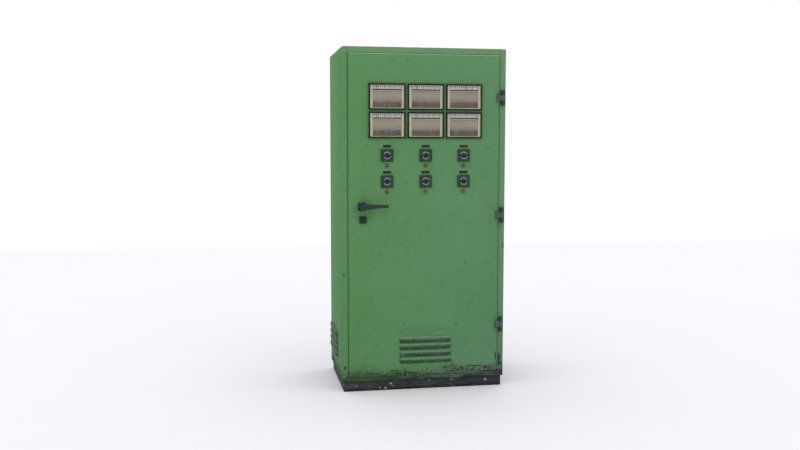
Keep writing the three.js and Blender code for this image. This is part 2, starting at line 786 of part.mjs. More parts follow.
function handleLever() {
  const hubRear = onDoor - bossDepth - runningGap;
  const arm = elevation(leverOutline(), [-leverReach, -leverReach + leverThickness]);
  const hub = barAlongY(0, 0, leverHub, [-leverReach, hubRear], 24);
  const shaft = barAlongY(0, 0, spindle, [hubRear - 1, rodFront + 1]);
  const pinion = elevation(gearOutline(), [rodFront, rodBack]);
  const tail = barAlongY(0, 0, spindleTail, [rodBack - 1, rodBack + runningGap + housingWall], 12);
  return join([arm, hub, shaft, pinion, tail]);
}

function handleBoss() {
  const half = bossSize / 2;
  const plate = elevation(roundedRectangle([-half, half], [-half, half], 3), [onDoor - bossDepth, onDoor], 3);
  return plate.subtract(barAlongY(0, 0, spindle + 2 * cutoutGap, [onDoor - bossDepth - 1, onDoor + 1]));
}

// A channel around the pinion and the two rods, open at top and bottom, on two legs.
function latchHousing() {
  const half = rodOuter + runningGap + housingWall;
  const rear = rodBack + runningGap + housingWall;
  const height = housingHeight;
  const whole = panelBlock(0, 0, 2 * half, height, [behindDoor, rear]);
  const tunnel = [rodFront - runningGap, rodBack + runningGap];
  const channel = panelBlock(0, 0, 2 * (rodOuter + runningGap), height + 2, tunnel);
  const between = [behindDoor + housingFront, tunnel[0] - housingFront];
  const waist = panelBlock(0, 0, 2 * rodOuter, height + 2, between);
  const bore = barAlongY(0, 0, spindle + 2 * cutoutGap, [behindDoor - 1, rodFront]);
  const bearing = barAlongY(0, 0, spindleTail + 2 * runningGap, [rodBack, rear + 1], 12);
  return cut(whole, [channel, waist, bore, bearing]);
}

// ---------- lock ----------
function lockBody() {
  const half = lockPlate / 2;
  const outline = roundedRectangle([-half, half], [-half, half], 3);
  const plate = elevation(outline, [onDoor - lockPlateDepth, onDoor], 3);
  const rear = rebateDepth + camBehindLip - runningGap;
  const barrel = barAlongY(0, 0, lockBarrel, [onDoor - 1, rear]);
  const bore = barAlongY(0, 0, lockPlug + 2 * runningGap, [onDoor - lockPlateDepth - 1, rear + 1], 16);
  return plate.add(barrel).subtract(bore);
}

// The plug turns in the barrel; the cam hangs down when the lock is open.
function lockCam() {
  const front = onDoor - lockPlateDepth - 1;
  const camFront = rebateDepth + camBehindLip;
  const plug = barAlongY(0, 0, lockPlug, [front, camFront + 1], 16);
  const keyway = panelBlock(0, 0, ...keywaySize, [front - 1, front + 3]);
  const half = camWidth / 2;
  const arm = block([-half, half], [camFront, camFront + camThickness], [-camLength, half]);
  return join([plug.subtract(keyway), arm]);
}

// ---------- inside ----------
function mountingPlate() {
  const sheet = block([-plateWidth / 2, plateWidth / 2], [plateFront, plateFront + plateSheet], [
    plateBottom, plateTop,
  ]);
  const posts = [];
  const inset = plateStandoffInset;
  for (const x of [-plateWidth / 2 + inset, plateWidth / 2 - inset]) {
    for (const z of [plateBottom + inset, plateTop - inset]) {
      posts.push(barAlongY(x, z, plateStandoff, [plateFront + 1, cabinetDepth - bodySheet - seam], 12));
    }
  }
  return join([sheet, ...posts]);
}

function mountingRail() {
  const [half, web, back, thick] = [railHeight / 2, railHeight / 2 - railBrim, onPlate, railSheet];
  const front = back - railDepth;
  const inner = web - thick;
  const outline = [
    [back, -web], [back, web], [front + thick, web], [front + thick, half], [front, half], [front, inner],
    [back - thick, inner], [back - thick, -inner], [front, -inner], [front, -half], [front + thick, -half],
    [front + thick, -web],
  ];
  return sideElevation(polygon(outline.toReversed()), [-railLength / 2, railLength / 2]);
}

function terminalRow() {
  const rear = onPlate - railDepth - seam;
  const front = rear - terminalDepth;
  const half = terminalHeight / 2;
  const [back, drop] = terminalShoulder;
  const outline = [
    [rear, -half], [rear, half], [front + back, half], [front, half - drop], [front, -half + drop],
    [front + back, -half],
  ];
  const row = sideElevation(polygon(outline.toReversed()), [-terminalLength / 2, terminalLength / 2]);
  const [gapWidth, gapDepth] = terminalGap;
  const gaps = [];
  for (let x = -terminalLength / 2 + terminalPitch; x < terminalLength / 2; x += terminalPitch) {
    gaps.push(panelBlock(x, 0, gapWidth, 2 * half + 2, [front - 1, front + gapDepth]));
  }
  return cut(row, gaps);
}

function wiringDuct() {
  const half = ductHeight / 2;
  const front = onPlate - ductDepth;
  const whole = block([-ductLength / 2, ductLength / 2], [front, onPlate], [-half, half]);
  const along = [-ductLength / 2 - 1, ductLength / 2 + 1];
  const channel = block(along, [front - 1, onPlate - ductWall], [-half + ductWall, half - ductWall]);
  const slots = [];
  for (let x = -ductLength / 2 + ductSlotPitch / 2; x < ductLength / 2; x += ductSlotPitch) {
    slots.push(panelBlock(x, 0, ductSlotWidth, 2 * half + 2, [front - 1, onPlate - ductWall - ductSlotEnd]));
  }
  return cut(whole, [channel, ...slots]);
}

function breaker() {
  const [width, depth, height] = breakerSize;
  const front = onPlate - depth;
  const body = panelBlock(0, 0, width, height, [front + breakerNose, onPlate]);
  const nose = panelBlock(0, 0, width, height * 0.5, [front, front + breakerNose + 1]);
  const [slotMargin, slotHeight] = breakerSlot;
  const slot = panelBlock(0, 0, toggleSize[0] + slotMargin, slotHeight, [front - 1, toggleY + 10]);
  const [grooveWidth, grooveDepth] = breakerGroove;
  const grooves = [-1, 1].map((side) =>
    panelBlock(side * width / 6, 0, grooveWidth, height + 2, [front - 1, front + grooveDepth]));
  return cut(join([body, nose]), [slot, ...grooves]);
}

// Points forward and a little down when the breaker is off.
function breakerToggle() {
  const [width, reach, height] = toggleSize;
  const grip = new THREE.BoxGeometry(width, reach, height);
  grip.translate(0, -reach / 2, 0);
  grip.rotateX(toggleTilt);
  return join([barAlongX(0, 0, togglePivot, [-width / 2, width / 2]), solid(grip)]);
}

function transformer() {
  const [coreWidth, coreDepth, coreHeight] = transformerCore;
  const [coilWidth, coilDepth, coilHeight] = transformerCoil;
  const middle = onPlate - coilDepth / 2 - transformerOffPlate;
  const core = panelBlock(0, 0, coreWidth, coreHeight, [middle - coreDepth / 2, middle + coreDepth / 2]);
  const coil = panelBlock(0, 0, coilWidth, coilHeight, [middle - coilDepth / 2, middle + coilDepth / 2]);
  const width = coreWidth + 2 * transformerFootReach;
  const [thick, backThick] = transformerFootSheet;
  const [below, rise] = [-coreHeight / 2, transformerFootRise];
  const foot = panelBlock(0, below + thick / 2, width, thick, [middle, onPlate]);
  const upright = panelBlock(0, below + rise / 2, width, rise, [onPlate - backThick, onPlate]);
  return join([core, coil, foot, upright]);
}

// ---------- assembly ----------
function bodyGroup() {
  const group = new THREE.Group();
  group.add(part("plinth", plinthRing(), "plinth"));
  group.add(part("floor_panel", floorSheet(), "green"));
  group.add(part("gland_plate", glandPlate(), "zinc"));
  group.add(part("left_side_panel", sideWall(-1), "green"));
  group.add(part("right_side_panel", sideWall(1), "green"));
  group.add(part("roof_panel", roofSheet(), "green"));
  group.add(part("rear_panel", rearSheet(), "green"));
  group.add(part("front_frame", frontFrame(), "green"));
  hingeHeights.forEach((z, i) => {
    group.add(part(`hinge_frame_leaf_${i + 1}`, frameLeaf(), "hinge", [0, 0, z]));
  });
  return group;
}

function insideGroup() {
  const group = new THREE.Group();
  group.add(part("mounting_plate", mountingPlate(), "zinc"));
  group.add(part("mounting_rail", mountingRail(), "steel", [0, 0, railZ]));
  group.add(part("terminal_row", terminalRow(), "greyPlastic", [0, 0, railZ]));
  group.add(part("wiring_duct", wiringDuct(), "greyPlastic", [0, 0, ductZ]));
  group.add(part("breaker", breaker(), "blackPlastic", [breakerX, 0, plateTop - breakerDrop]));
  const toggle = [breakerX, toggleY, plateTop - breakerDrop];
  group.add(part("breaker_toggle", breakerToggle(), "creamPlastic", toggle));
  const supply = [transformerX, 0, plateBottom + transformerLift];
  group.add(part("transformer", transformer(), "laminations", supply));
  return group;
}

function doorGroup() {
  const group = new THREE.Group();
  group.add(part("door_panel", doorPanel(), "green"));
  group.add(part("door_gasket", doorGasket(), "rubber"));
  hingeHeights.forEach((z, i) => {
    group.add(part(`hinge_door_leaf_${i + 1}`, doorLeaf(), "hinge", [0, 0, z]));
  });
  return group;
}

function instrumentGroup() {
  const group = new THREE.Group();
  meterRows.forEach((meterZ, row) => {
    meterColumns.forEach((x, column) => {
      const number = row * meterColumns.length + column + 1;
      const rest = x + pointerRest[row][column] * pointerTravel;
      const switchZ = switchRows[row];
      group.add(part(`meter_case_${number}`, meterCase(), "meterHousing", [x, 0, meterZ]));
      group.add(part(`meter_pointer_${number}`, meterPointer(), "pointer", [rest, 0, meterZ]));
      group.add(part(`switch_body_${number}`, switchBody(), "switchPlastic", [x, 0, switchZ]));
      group.add(part(`switch_knob_${number}`, switchKnob(), "blackPlastic", [x, 0, switchZ]));
      group.add(part(`lamp_${number}`, lamp(), "redLens", [x, 0, switchZ - lampDrop]));
    });
  });
  return group;
}

function latchGroup() {
  const group = new THREE.Group();
  const handle = [handleX, 0, handleZ];
  const lock = [lockX, 0, lockZ];
  group.add(part("handle_boss", handleBoss(), "blackMetal", handle));
  group.add(part("handle_lever", handleLever(), "blackMetal", handle));
  group.add(part("latch_housing", latchHousing(), "zinc", handle));
  group.add(part("upper_rod", latchRod(1, upperRodEnd), "steel", handle));
  group.add(part("lower_rod", latchRod(-1, lowerRodEnd), "steel", handle));
  group.add(part("lock_body", lockBody(), "blackMetal", lock));
  group.add(part("lock_cam", lockCam(), "steel", lock));
  return group;
}

const cabinet = new THREE.Group();
const groups = [bodyGroup(), insideGroup(), doorGroup(), instrumentGroup(), latchGroup()];
groups.forEach((group) => cabinet.add(group));
// the outline runs from the lever's face to the rear panel, and its middle stands over the origin
cabinet.position.y = (leverReach - cabinetDepth) / 2;

const model = new THREE.Group();
model.add(cabinet);
export default model;
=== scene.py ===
# %% [markdown]
# # A sheet-steel control cabinet
#
# The cabinet stands on a dark plinth. Its door carries six strip meters, six cam switches with label plates
# and pilot lamps, a lever latch, a lock and a pressed vent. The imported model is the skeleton: it fixes
# every size and place, and the pieces below are dressed around it. Everything is in metres, with the door
# facing -Y.

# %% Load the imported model
import json
import math
from contextlib import contextmanager

import bmesh
import bpy
from mathutils import Matrix, Vector


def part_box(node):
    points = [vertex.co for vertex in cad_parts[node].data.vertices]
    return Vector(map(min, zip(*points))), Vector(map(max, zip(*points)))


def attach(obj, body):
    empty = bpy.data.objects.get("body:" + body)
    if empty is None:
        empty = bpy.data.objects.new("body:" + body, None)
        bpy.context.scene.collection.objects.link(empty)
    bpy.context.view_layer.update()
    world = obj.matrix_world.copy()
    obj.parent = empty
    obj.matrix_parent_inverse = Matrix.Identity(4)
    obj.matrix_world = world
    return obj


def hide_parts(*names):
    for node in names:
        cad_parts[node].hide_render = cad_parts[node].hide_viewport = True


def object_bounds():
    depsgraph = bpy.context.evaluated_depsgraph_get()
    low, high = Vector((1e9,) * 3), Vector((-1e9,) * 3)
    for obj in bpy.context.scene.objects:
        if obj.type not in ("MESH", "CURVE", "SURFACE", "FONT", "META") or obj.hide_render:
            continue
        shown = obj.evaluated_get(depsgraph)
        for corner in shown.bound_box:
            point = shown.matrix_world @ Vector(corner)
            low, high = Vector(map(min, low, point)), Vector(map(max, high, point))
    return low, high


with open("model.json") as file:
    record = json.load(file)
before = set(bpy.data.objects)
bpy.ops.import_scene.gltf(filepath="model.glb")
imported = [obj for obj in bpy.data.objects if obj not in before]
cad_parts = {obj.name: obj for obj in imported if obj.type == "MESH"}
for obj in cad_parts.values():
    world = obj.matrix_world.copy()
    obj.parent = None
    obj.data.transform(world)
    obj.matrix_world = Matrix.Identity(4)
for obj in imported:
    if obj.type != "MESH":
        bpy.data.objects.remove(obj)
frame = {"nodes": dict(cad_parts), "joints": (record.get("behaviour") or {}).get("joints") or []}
cad_lo, cad_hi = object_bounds()

MM = 0.001
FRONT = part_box("front_frame")[0].y
DOOR_FACE = FRONT - 2 * MM
print("cabinet", [round(v, 4) for v in cad_hi - cad_lo], "front face at", round(FRONT, 4))

# %% [markdown]
# ## Working by hand, in code
#
# Every new piece starts as a primitive at its own size and place. It is then shaped in edit mode, where an
# operator acts on what is selected, so faces and edges are picked first by where they are and which way
# they face. These few helpers stand for the mouse.

# %% Selecting and shaping
LEFT_RIGHT, FRONT_BACK, UP_DOWN = Vector((1, 0, 0)), Vector((0, 1, 0)), Vector((0, 0, 1))
TURN_TO = {"X": (0, math.pi / 2, 0), "Y": (math.pi / 2, 0, 0), "Z": (0, 0, 0)}


def only(*pieces):
    """Selects these pieces and nothing else; the first is the active one."""
    bpy.ops.object.select_all(action="DESELECT")
    for piece in pieces:
        piece.select_set(True)
    bpy.context.view_layer.objects.active = pieces[0]


def named(name):
    piece = bpy.context.object
    piece.name = piece.data.name = name
    bpy.ops.object.transform_apply(location=True, rotation=True, scale=True)
    return piece


def block(name, lo, hi):
    """A box between two corners, as the start of a piece."""
    bpy.ops.object.select_all(action="DESELECT")
    lo, hi = Vector(lo), Vector(hi)
    bpy.ops.mesh.primitive_cube_add(size=1, location=(lo + hi) / 2)
    bpy.context.object.scale = hi - lo
    return named(name)


def bar(name, middle, radius, length, axis="Y", sides=32):
    """A round bar along one axis, as the start of a piece."""
    bpy.ops.object.select_all(action="DESELECT")
    bpy.ops.mesh.primitive_cylinder_add(
        vertices=sides, radius=radius, depth=length, location=middle, rotation=TURN_TO[axis])
    return named(name)


@contextmanager
def shaping(piece):
    """Edit mode on one piece."""
    only(piece)
    bpy.ops.object.mode_set(mode="EDIT")
    yield
    bpy.ops.object.mode_set(mode="OBJECT")


def pick_faces(piece, test):
    bpy.ops.mesh.select_mode(type="FACE")
    bpy.ops.mesh.select_all(action="DESELECT")
    mesh = bmesh.from_edit_mesh(piece.data)
    for face in mesh.faces:
        face.select_set(bool(test(face.calc_center_median(), face.normal)))
    mesh.select_flush_mode()
    bmesh.update_edit_mesh(piece.data)


def pick_edges(piece, test):
    bpy.ops.mesh.select_mode(type="EDGE")
    bpy.ops.mesh.select_all(action="DESELECT")
    mesh = bmesh.from_edit_mesh(piece.data)
    for edge in mesh.edges:
        a, b = (corner.co for corner in edge.verts)
        edge.select_set(bool(test((a + b) / 2, (b - a).normalized())))
    mesh.select_flush_mode()
    bmesh.update_edit_mesh(piece.data)


def facing(direction):
    """A test for faces that look along a direction."""
    aim = Vector(direction)
    return lambda centre, normal: normal.dot(aim) > 0.99


def running(direction):
    """A test for edges that run along a direction."""
    aim = Vector(direction)
    return lambda centre, along: abs(along.dot(aim)) > 0.99


def push(move):
    """Extrudes the picked faces by a move."""
    bpy.ops.mesh.extrude_region_move(TRANSFORM_OT_translate={"value": tuple(move)})


def inset(width):
    bpy.ops.mesh.inset(thickness=width, depth=0, use_even_offset=True)


def squeeze(scale, centre):
    bpy.ops.transform.resize(value=scale, center_override=tuple(centre))


def ledge(scale, centre):
    """A flat step around the picked face: the next push starts from the smaller or larger outline."""
    push((0, 0, 0))
    squeeze(scale, centre)


def split(point, normal, clear_outer=False, fill=False):
    """Cuts the whole piece along a plane, and may drop what lies beyond it."""
    bpy.ops.mesh.select_all(action="SELECT")
    bpy.ops.mesh.bisect(plane_co=tuple(point), plane_no=tuple(normal), clear_outer=clear_outer, use_fill=fill,
                        threshold=1e-7)


def apply(piece, kind, **settings):
    only(piece)
    modifier = piece.modifiers.new(kind.lower(), kind)
    for key, value in settings.items():
        setattr(modifier, key, value)
    bpy.ops.object.modifier_apply(modifier=modifier.name)


def smooth(piece, angle=35):
    only(piece)
    bpy.ops.object.shade_smooth_by_angle(angle=math.radians(angle))
    return piece


def soften(piece, width, segments=2, sharper_than=30):
    """Rounds every edge sharper than an angle, then shades the piece smooth over its small facets."""
    apply(piece, "BEVEL", width=width, segments=segments, limit_method="ANGLE",
          angle_limit=math.radians(sharper_than), use_clamp_overlap=True)
    return smooth(piece)


def copied(piece, name, move):
    """A twin with its own mesh, moved."""
    only(piece)
    bpy.ops.object.duplicate(linked=False)
    bpy.ops.transform.translate(value=tuple(move))
    return named(name)


def joined(name, pieces):
    if len(pieces) > 1:
        only(*pieces)
        bpy.ops.object.join()
    else:
        only(pieces[0])
    return named(name)


def repeated(name, piece, moves):
    """One object made of a piece and its copies, each moved from the first."""
    return joined(name, [piece] + [copied(piece, name + "_copy", move) for move in moves])


print("helpers ready")

# %% [markdown]
# ## Folded sheet, taken over from the skeleton
#
# The panels are folded steel. Their folds, flanges and cut-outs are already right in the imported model, but
# its edges are knife-sharp, and real sheet has a small radius that catches the light. So a copy of each
# panel is merged, its flat faces are cleaned up, and its edges are rounded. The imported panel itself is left
# alone.

# %% A merged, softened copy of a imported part
def sheet_copy(name, node, width=0.5 * MM, segments=2, sharper_than=40, shape=None):
    mesh = frame["nodes"][node].data.copy()
    piece = bpy.data.objects.new(name, mesh)
    piece.data.name = name
    bpy.context.scene.collection.objects.link(piece)
    with shaping(piece):
        bpy.ops.mesh.select_all(action="SELECT")
        bpy.ops.mesh.remove_doubles(threshold=2e-6)
        if shape:
            shape(piece)
        bpy.ops.mesh.select_all(action="SELECT")
        bpy.ops.mesh.dissolve_limited(angle_limit=math.radians(1))
    if width:
        soften(piece, width, segments, sharper_than)
    else:
        smooth(piece)
    return piece

# %% [markdown]
# ## Shader nodes, one small step at a time
#
# A material is a few patterns that are mixed. These helpers each add one node and return its output, so a
# material reads as a list of steps. Every pattern reads Object coordinates, which are metres on the real
# cabinet.

# %% One-node helpers
def material(name):
    finish = bpy.data.materials.new(name)
    finish.use_nodes = True
    return finish, finish.node_tree


def feed(tree, socket, value):
    if isinstance(value, bpy.types.NodeSocket):
        tree.links.new(value, socket)
    else:
        socket.default_value = value


def calc(tree, operation, a, b=0.5, clamp=False):
    node = tree.nodes.new("ShaderNodeMath")
    node.operation, node.use_clamp = operation, clamp
    feed(tree, node.inputs[0], a)
    feed(tree, node.inputs[1], b)
    return node.outputs[0]


def mixed(tree, factor, a, b):
    node = tree.nodes.new("ShaderNodeMix")
    node.data_type = "RGBA"
    feed(tree, node.inputs[0], factor)
    feed(tree, node.inputs[6], a)
    feed(tree, node.inputs[7], b)
    return node.outputs[2]


def noise(tree, where, scale, detail=3.0, roughness=0.55):
    node = tree.nodes.new("ShaderNodeTexNoise")
    for key, value in {"Vector": where, "Scale": scale, "Detail": detail, "Roughness": roughness}.items():
        feed(tree, node.inputs[key], value)
    return node.outputs["Fac"]


def fade(tree, value, from_low, from_high, to_low=0.0, to_high=1.0):
    """Turns one range of a value into another, clamped at both ends."""
    node = tree.nodes.new("ShaderNodeMapRange")
    node.clamp = True
    for key, setting in zip(("Value", "From Min", "From Max", "To Min", "To Max"),
                            (value, from_low, from_high, to_low, to_high)):
        feed(tree, node.inputs[key], setting)
    return node.outputs["Result"]


def place_of(tree):
    return tree.nodes.new("ShaderNodeTexCoord").outputs["Object"]


def xyz(tree, where):
    node = tree.nodes.new("ShaderNodeSeparateXYZ")
    feed(tree, node.inputs[0], where)
    return node.outputs


def stretched(tree, where, scale):
    node = tree.nodes.new("ShaderNodeMapping")
    feed(tree, node.inputs["Vector"], where)
    node.inputs["Scale"].default_value = scale
    return node.outputs[0]


def use_group(tree, group, **values):
    node = tree.nodes.new("ShaderNodeGroup")
    node.node_tree = group
    for key, value in values.items():
        feed(tree, node.inputs[key], value)
    return node.outputs


def new_group(name, inputs, outputs):
    """A shader node group with its sockets; returns it with its input and output nodes."""
    group = bpy.data.node_groups.new(name, "ShaderNodeTree")
    kinds = {"vector": "NodeSocketVector", "value": "NodeSocketFloat", "colour": "NodeSocketColor"}
    for key, (kind, default) in inputs.items():
        socket = group.interface.new_socket(key, in_out="INPUT", socket_type=kinds[kind])
        if default is not None:
            socket.default_value = default
    for key, kind in outputs.items():
        group.interface.new_socket(key, in_out="OUTPUT", socket_type=kinds[kind])
    return group, group.nodes.new("NodeGroupInput").outputs, group.nodes.new("NodeGroupOutput").inputs


def colour(red, green, blue):
    """A paint-chart colour, 0 to 255, as the shader wants it."""
    return tuple((c / 255 / 12.92 if c <= 10 else ((c / 255 + 0.055) / 1.055) ** 2.4)
                 for c in (red, green, blue)) + (1,)


def principled(tree, **settings):
    shader = tree.nodes["Principled BSDF"]
    for key, value in settings.items():
        feed(tree, shader.inputs[key.replace("_", " ")], value)
    return shader


def bumped(tree, height, distance, strength=1.0):
    node = tree.nodes.new("ShaderNodeBump")
    node.inputs["Strength"].default_value = strength
    node.inputs["Distance"].default_value = distance
    feed(tree, node.inputs["Height"], height)
    return node.outputs[0]


print("shader helpers ready")

# %% [markdown]
# ## Wear that several finishes share
#
# Four effects come back on paint, plastic and iron, so each is a node group with named inputs:
#
# - **edge wear**: an edge is rubbed bright or bare before a face is. A rounded normal is compared with the
#   true one, so the mask is strongest where the surface turns.
# - **mottle**: old paint is never one colour. Two noises, one broad and one fine, drift between two shades.
# - **scuff**: one patch of damage at a place, with a ragged outline.
# - **foot grime**: dirt and rust climb from the floor, with a ragged upper edge.

# %% Edge wear
edge_wear, wear_in, wear_out = new_group(
    "edge_wear", {"Place": ("vector", None), "Width": ("value", 0.002), "Amount": ("value", 0.5)},
    {"Mask": "value"})
rounded = edge_wear.nodes.new("ShaderNodeBevel")
rounded.samples = 3
feed(edge_wear, rounded.inputs["Radius"], wear_in["Width"])
true_normal = edge_wear.nodes.new("ShaderNodeNewGeometry").outputs["Normal"]
compare = edge_wear.nodes.new("ShaderNodeVectorMath")
compare.operation = "DOT_PRODUCT"
feed(edge_wear, compare.inputs[0], rounded.outputs[0])
feed(edge_wear, compare.inputs[1], true_normal)
turning = fade(edge_wear, compare.outputs["Value"], 0.995, 0.93)
ragged = noise(edge_wear, wear_in["Place"], 90.0, 4.0)
threshold = fade(edge_wear, wear_in["Amount"], 0.0, 1.0, 0.75, 0.25)
rubbed = calc(edge_wear, "MULTIPLY", calc(edge_wear, "SUBTRACT", ragged, threshold), 9.0, clamp=True)
feed(edge_wear, wear_out["Mask"], calc(edge_wear, "MULTIPLY", turning, rubbed))

# %% Mottle
mottle, mottle_in, mottle_out = new_group(
    "mottle", {"Place": ("vector", None), "Shade": ("colour", None), "Other shade": ("colour", None),
               "Scale": ("value", 4.0)}, {"Color": "colour"})
broad = noise(mottle, mottle_in["Place"], mottle_in["Scale"], 2.0)
fine = noise(mottle, mottle_in["Place"], calc(mottle, "MULTIPLY", mottle_in["Scale"], 9.0), 4.0)
drift = calc(mottle, "ADD", calc(mottle, "MULTIPLY", broad, 0.65), calc(mottle, "MULTIPLY", fine, 0.35))
feed(mottle, mottle_out["Color"],
     mixed(mottle, fade(mottle, drift, 0.36, 0.64), mottle_in["Shade"], mottle_in["Other shade"]))

# %% Scuff
scuff, scuff_in, scuff_out = new_group(
    "scuff", {"Place": ("vector", None), "Centre": ("vector", None), "Size": ("vector", (0.01, 0.01, 0.01))},
    {"Mask": "value"})
offset = scuff.nodes.new("ShaderNodeVectorMath")
offset.operation = "SUBTRACT"
feed(scuff, offset.inputs[0], scuff_in["Place"])
feed(scuff, offset.inputs[1], scuff_in["Centre"])
shrunk = scuff.nodes.new("ShaderNodeVectorMath")
shrunk.operation = "DIVIDE"
feed(scuff, shrunk.inputs[0], offset.outputs[0])
feed(scuff, shrunk.inputs[1], scuff_in["Size"])
far = scuff.nodes.new("ShaderNodeVectorMath")
far.operation = "LENGTH"
feed(scuff, far.inputs[0], shrunk.outputs[0])
torn = calc(scuff, "MULTIPLY", calc(scuff, "SUBTRACT", noise(scuff, scuff_in["Place"], 110.0, 5.0, 0.7),
                                    0.5), 2.4)
feed(scuff, scuff_out["Mask"], fade(scuff, calc(scuff, "ADD", far.outputs["Value"], torn), 1.05, 0.75))

# %% Foot grime
foot_grime, grime_in, grime_out = new_group(
    "foot_grime", {"Place": ("vector", None), "Height": ("value", 0.1)}, {"Mask": "value"})
grime_place, grime_height = grime_in["Place"], grime_in["Height"]
above = calc(foot_grime, "DIVIDE", calc(
    foot_grime, "SUBTRACT", xyz(foot_grime, grime_place)[2], cad_lo.z + 50 * MM), grime_height)
chips = calc(foot_grime, "SUBTRACT", noise(foot_grime, stretched(foot_grime, grime_place, (0.7, 1, 1.1)),
                                           115.0, 5.0,
                                           0.7), 0.5)
drifts = calc(foot_grime, "SUBTRACT", noise(foot_grime, stretched(foot_grime, grime_place, (0.4, 1, 1)),
                                            16.0, 3.0), 0.5)
edge = calc(foot_grime, "ADD", above, calc(foot_grime, "ADD", calc(foot_grime, "MULTIPLY", chips, 3.2),
                                           calc(foot_grime, "MULTIPLY", drifts, 1.4)))
feed(foot_grime, grime_out["Mask"], fade(foot_grime, edge, 0.60, 0.42))
print("node groups", [group.name for group in bpy.data.node_groups])

# %% [markdown]
# ## The green paint
#
# A dull enamel over steel, decades old: a little lighter towards the top, dotted with small dark specks,
# rubbed grey on the vents, and worn to bare grey steel along the foot. Shade is painted into the colour along
# the door's gaps, around the hinges and the lever, under the vent hoods, along the foot and on the left side,
# and, with some dirt, between the meters; the door's top edge and the hoods' upper parts carry painted
# highlights. Sprayed enamel also has a fine orange-peel skin, which breaks up its reflections.

# %% Green paint: the coat
VENT_FOOT, VENT_RISE, VENT_PITCH, VENT_ROWS = cad_lo.z + 138 * MM, 23 * MM, 34 * MM, 4
VENT_SHIFT, VENT_WIDTH, SIDE_VENT_WIDTH = 7 * MM, 250 * MM, 290 * MM
GASKET_INSET = 2 * MM
gasket_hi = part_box("door_gasket")[1]
DOOR_HALF = gasket_hi.x + GASKET_INSET
meters_lo, meters_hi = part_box("meter_case_4")[0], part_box("meter_case_3")[1]

green_paint, tree = material("green_enamel")
where = place_of(tree)
across, deep, high = xyz(tree, where)
sideways = fade(tree, across, -400 * MM, 400 * MM)
warm = mixed(tree, sideways, colour(84, 130, 80), colour(85, 128, 90))
cool = mixed(tree, sideways, colour(89, 135, 88), colour(91, 132, 99))
paint = use_group(tree, mottle, Place=where, Shade=warm, Scale=3.5, **{"Other shade": cool})["Color"]
lighter_towards_top = fade(tree, high, cad_lo.z + 0.3, cad_hi.z, 0.0, 0.3)
paint = mixed(tree, lighter_towards_top, paint, colour(98, 145, 96))


def both(a, b):
    return calc(tree, "MULTIPLY", a, b)


def either(a, b):
    return calc(tree, "MAXIMUM", a, b)


def below(value, limit):
    return calc(tree, "LESS_THAN", value, limit)


def beyond(value, limit):
    return calc(tree, "GREATER_THAN", value, limit)


def within(value, low, high):
    return both(beyond(value, low), below(value, high))


def coat(mask, strength, shade):
    """Lays a shade over the paint so far, where the mask is."""
    return mixed(tree, calc(tree, "MULTIPLY", mask, strength), paint, shade)


sideness = calc(tree, "ABSOLUTE", across)
on_front = below(deep, FRONT + 1 * MM)
on_door = both(below(deep, FRONT - 1 * MM), below(sideness, DOOR_HALF + 0.5 * MM))
outside = either(either(on_front, beyond(sideness, 398.5 * MM)), beyond(deep, cad_hi.y - 1 * MM))

# %% Green paint: specks, stains and dirt
paint = coat(fade(tree, noise(tree, where, 170.0, 1.0), 0.71, 0.76), 0.3, colour(54, 86, 56))
paint = coat(fade(tree, noise(tree, stretched(tree, where, (1.1, 1, 0.9)), 205.0, 1.0), 0.71, 0.76), 0.3,
             colour(124, 156, 118))
paint = coat(fade(tree, noise(tree, where, 30.0, 2.0), 0.64, 0.72), 0.3, colour(64, 100, 68))
paint = coat(fade(tree, noise(tree, where, 11.0, 5.0, 0.7), 0.60, 0.80), 0.3, colour(102, 128, 88))

# The frame's top and its strip beside the hinges are greyer, with a rusty film on top; the corners are worn
# light.
top_strip = both(on_front, beyond(high, gasket_hi.z + 4 * MM))
paint = coat(top_strip, 0.45, colour(112, 144, 110))
hinge_strip = both(on_front, beyond(across, 372 * MM))
paint = coat(hinge_strip, fade(tree, high, 500 * MM, 1400 * MM, 0.12, 0.5), colour(110, 136, 106))
hinge_foot = fade(tree, high, 420 * MM, 120 * MM)
paint = coat(both(hinge_strip, hinge_foot), 0.45, colour(72, 90, 74))
film = fade(tree, noise(tree, stretched(tree, where, (0.8, 1, 0.5)), 6.0, 4.0), 0.48, 0.64)
roof_and_top = either(top_strip, beyond(high, cad_hi.z - 3 * MM))
paint = coat(both(roof_and_top, film), 0.4, colour(124, 110, 86))
left_side = beyond(calc(tree, "MULTIPLY", across, -1), 398.5 * MM)
# Painted shade: the whole left side is darkened; the rusty film laid over it next is a real stain.
paint = coat(left_side, 0.4, colour(66, 122, 76))
paint = coat(both(left_side, film), 0.2, colour(110, 106, 80))

# Painted shade along the door's gaps, with painted shade and some dirt between the meters and painted shade
# around the hinges.
gap_shade = fade(tree, calc(tree, "ABSOLUTE", calc(tree, "SUBTRACT", sideness, DOOR_HALF + 1 * MM)), 1 * MM,
                9 * MM, 1, 0)
paint = coat(both(gap_shade, on_front), 0.25, colour(50, 84, 50))
# Painted shade with some dirt in the strips between the meters.
meter_gap = 6 * MM
between_meters = both(both(within(across, meters_lo.x - meter_gap, meters_hi.x + meter_gap),
                           within(high, meters_lo.z - meter_gap, meters_hi.z + meter_gap)), on_door)
paint = coat(between_meters, 0.2, colour(62, 84, 52))
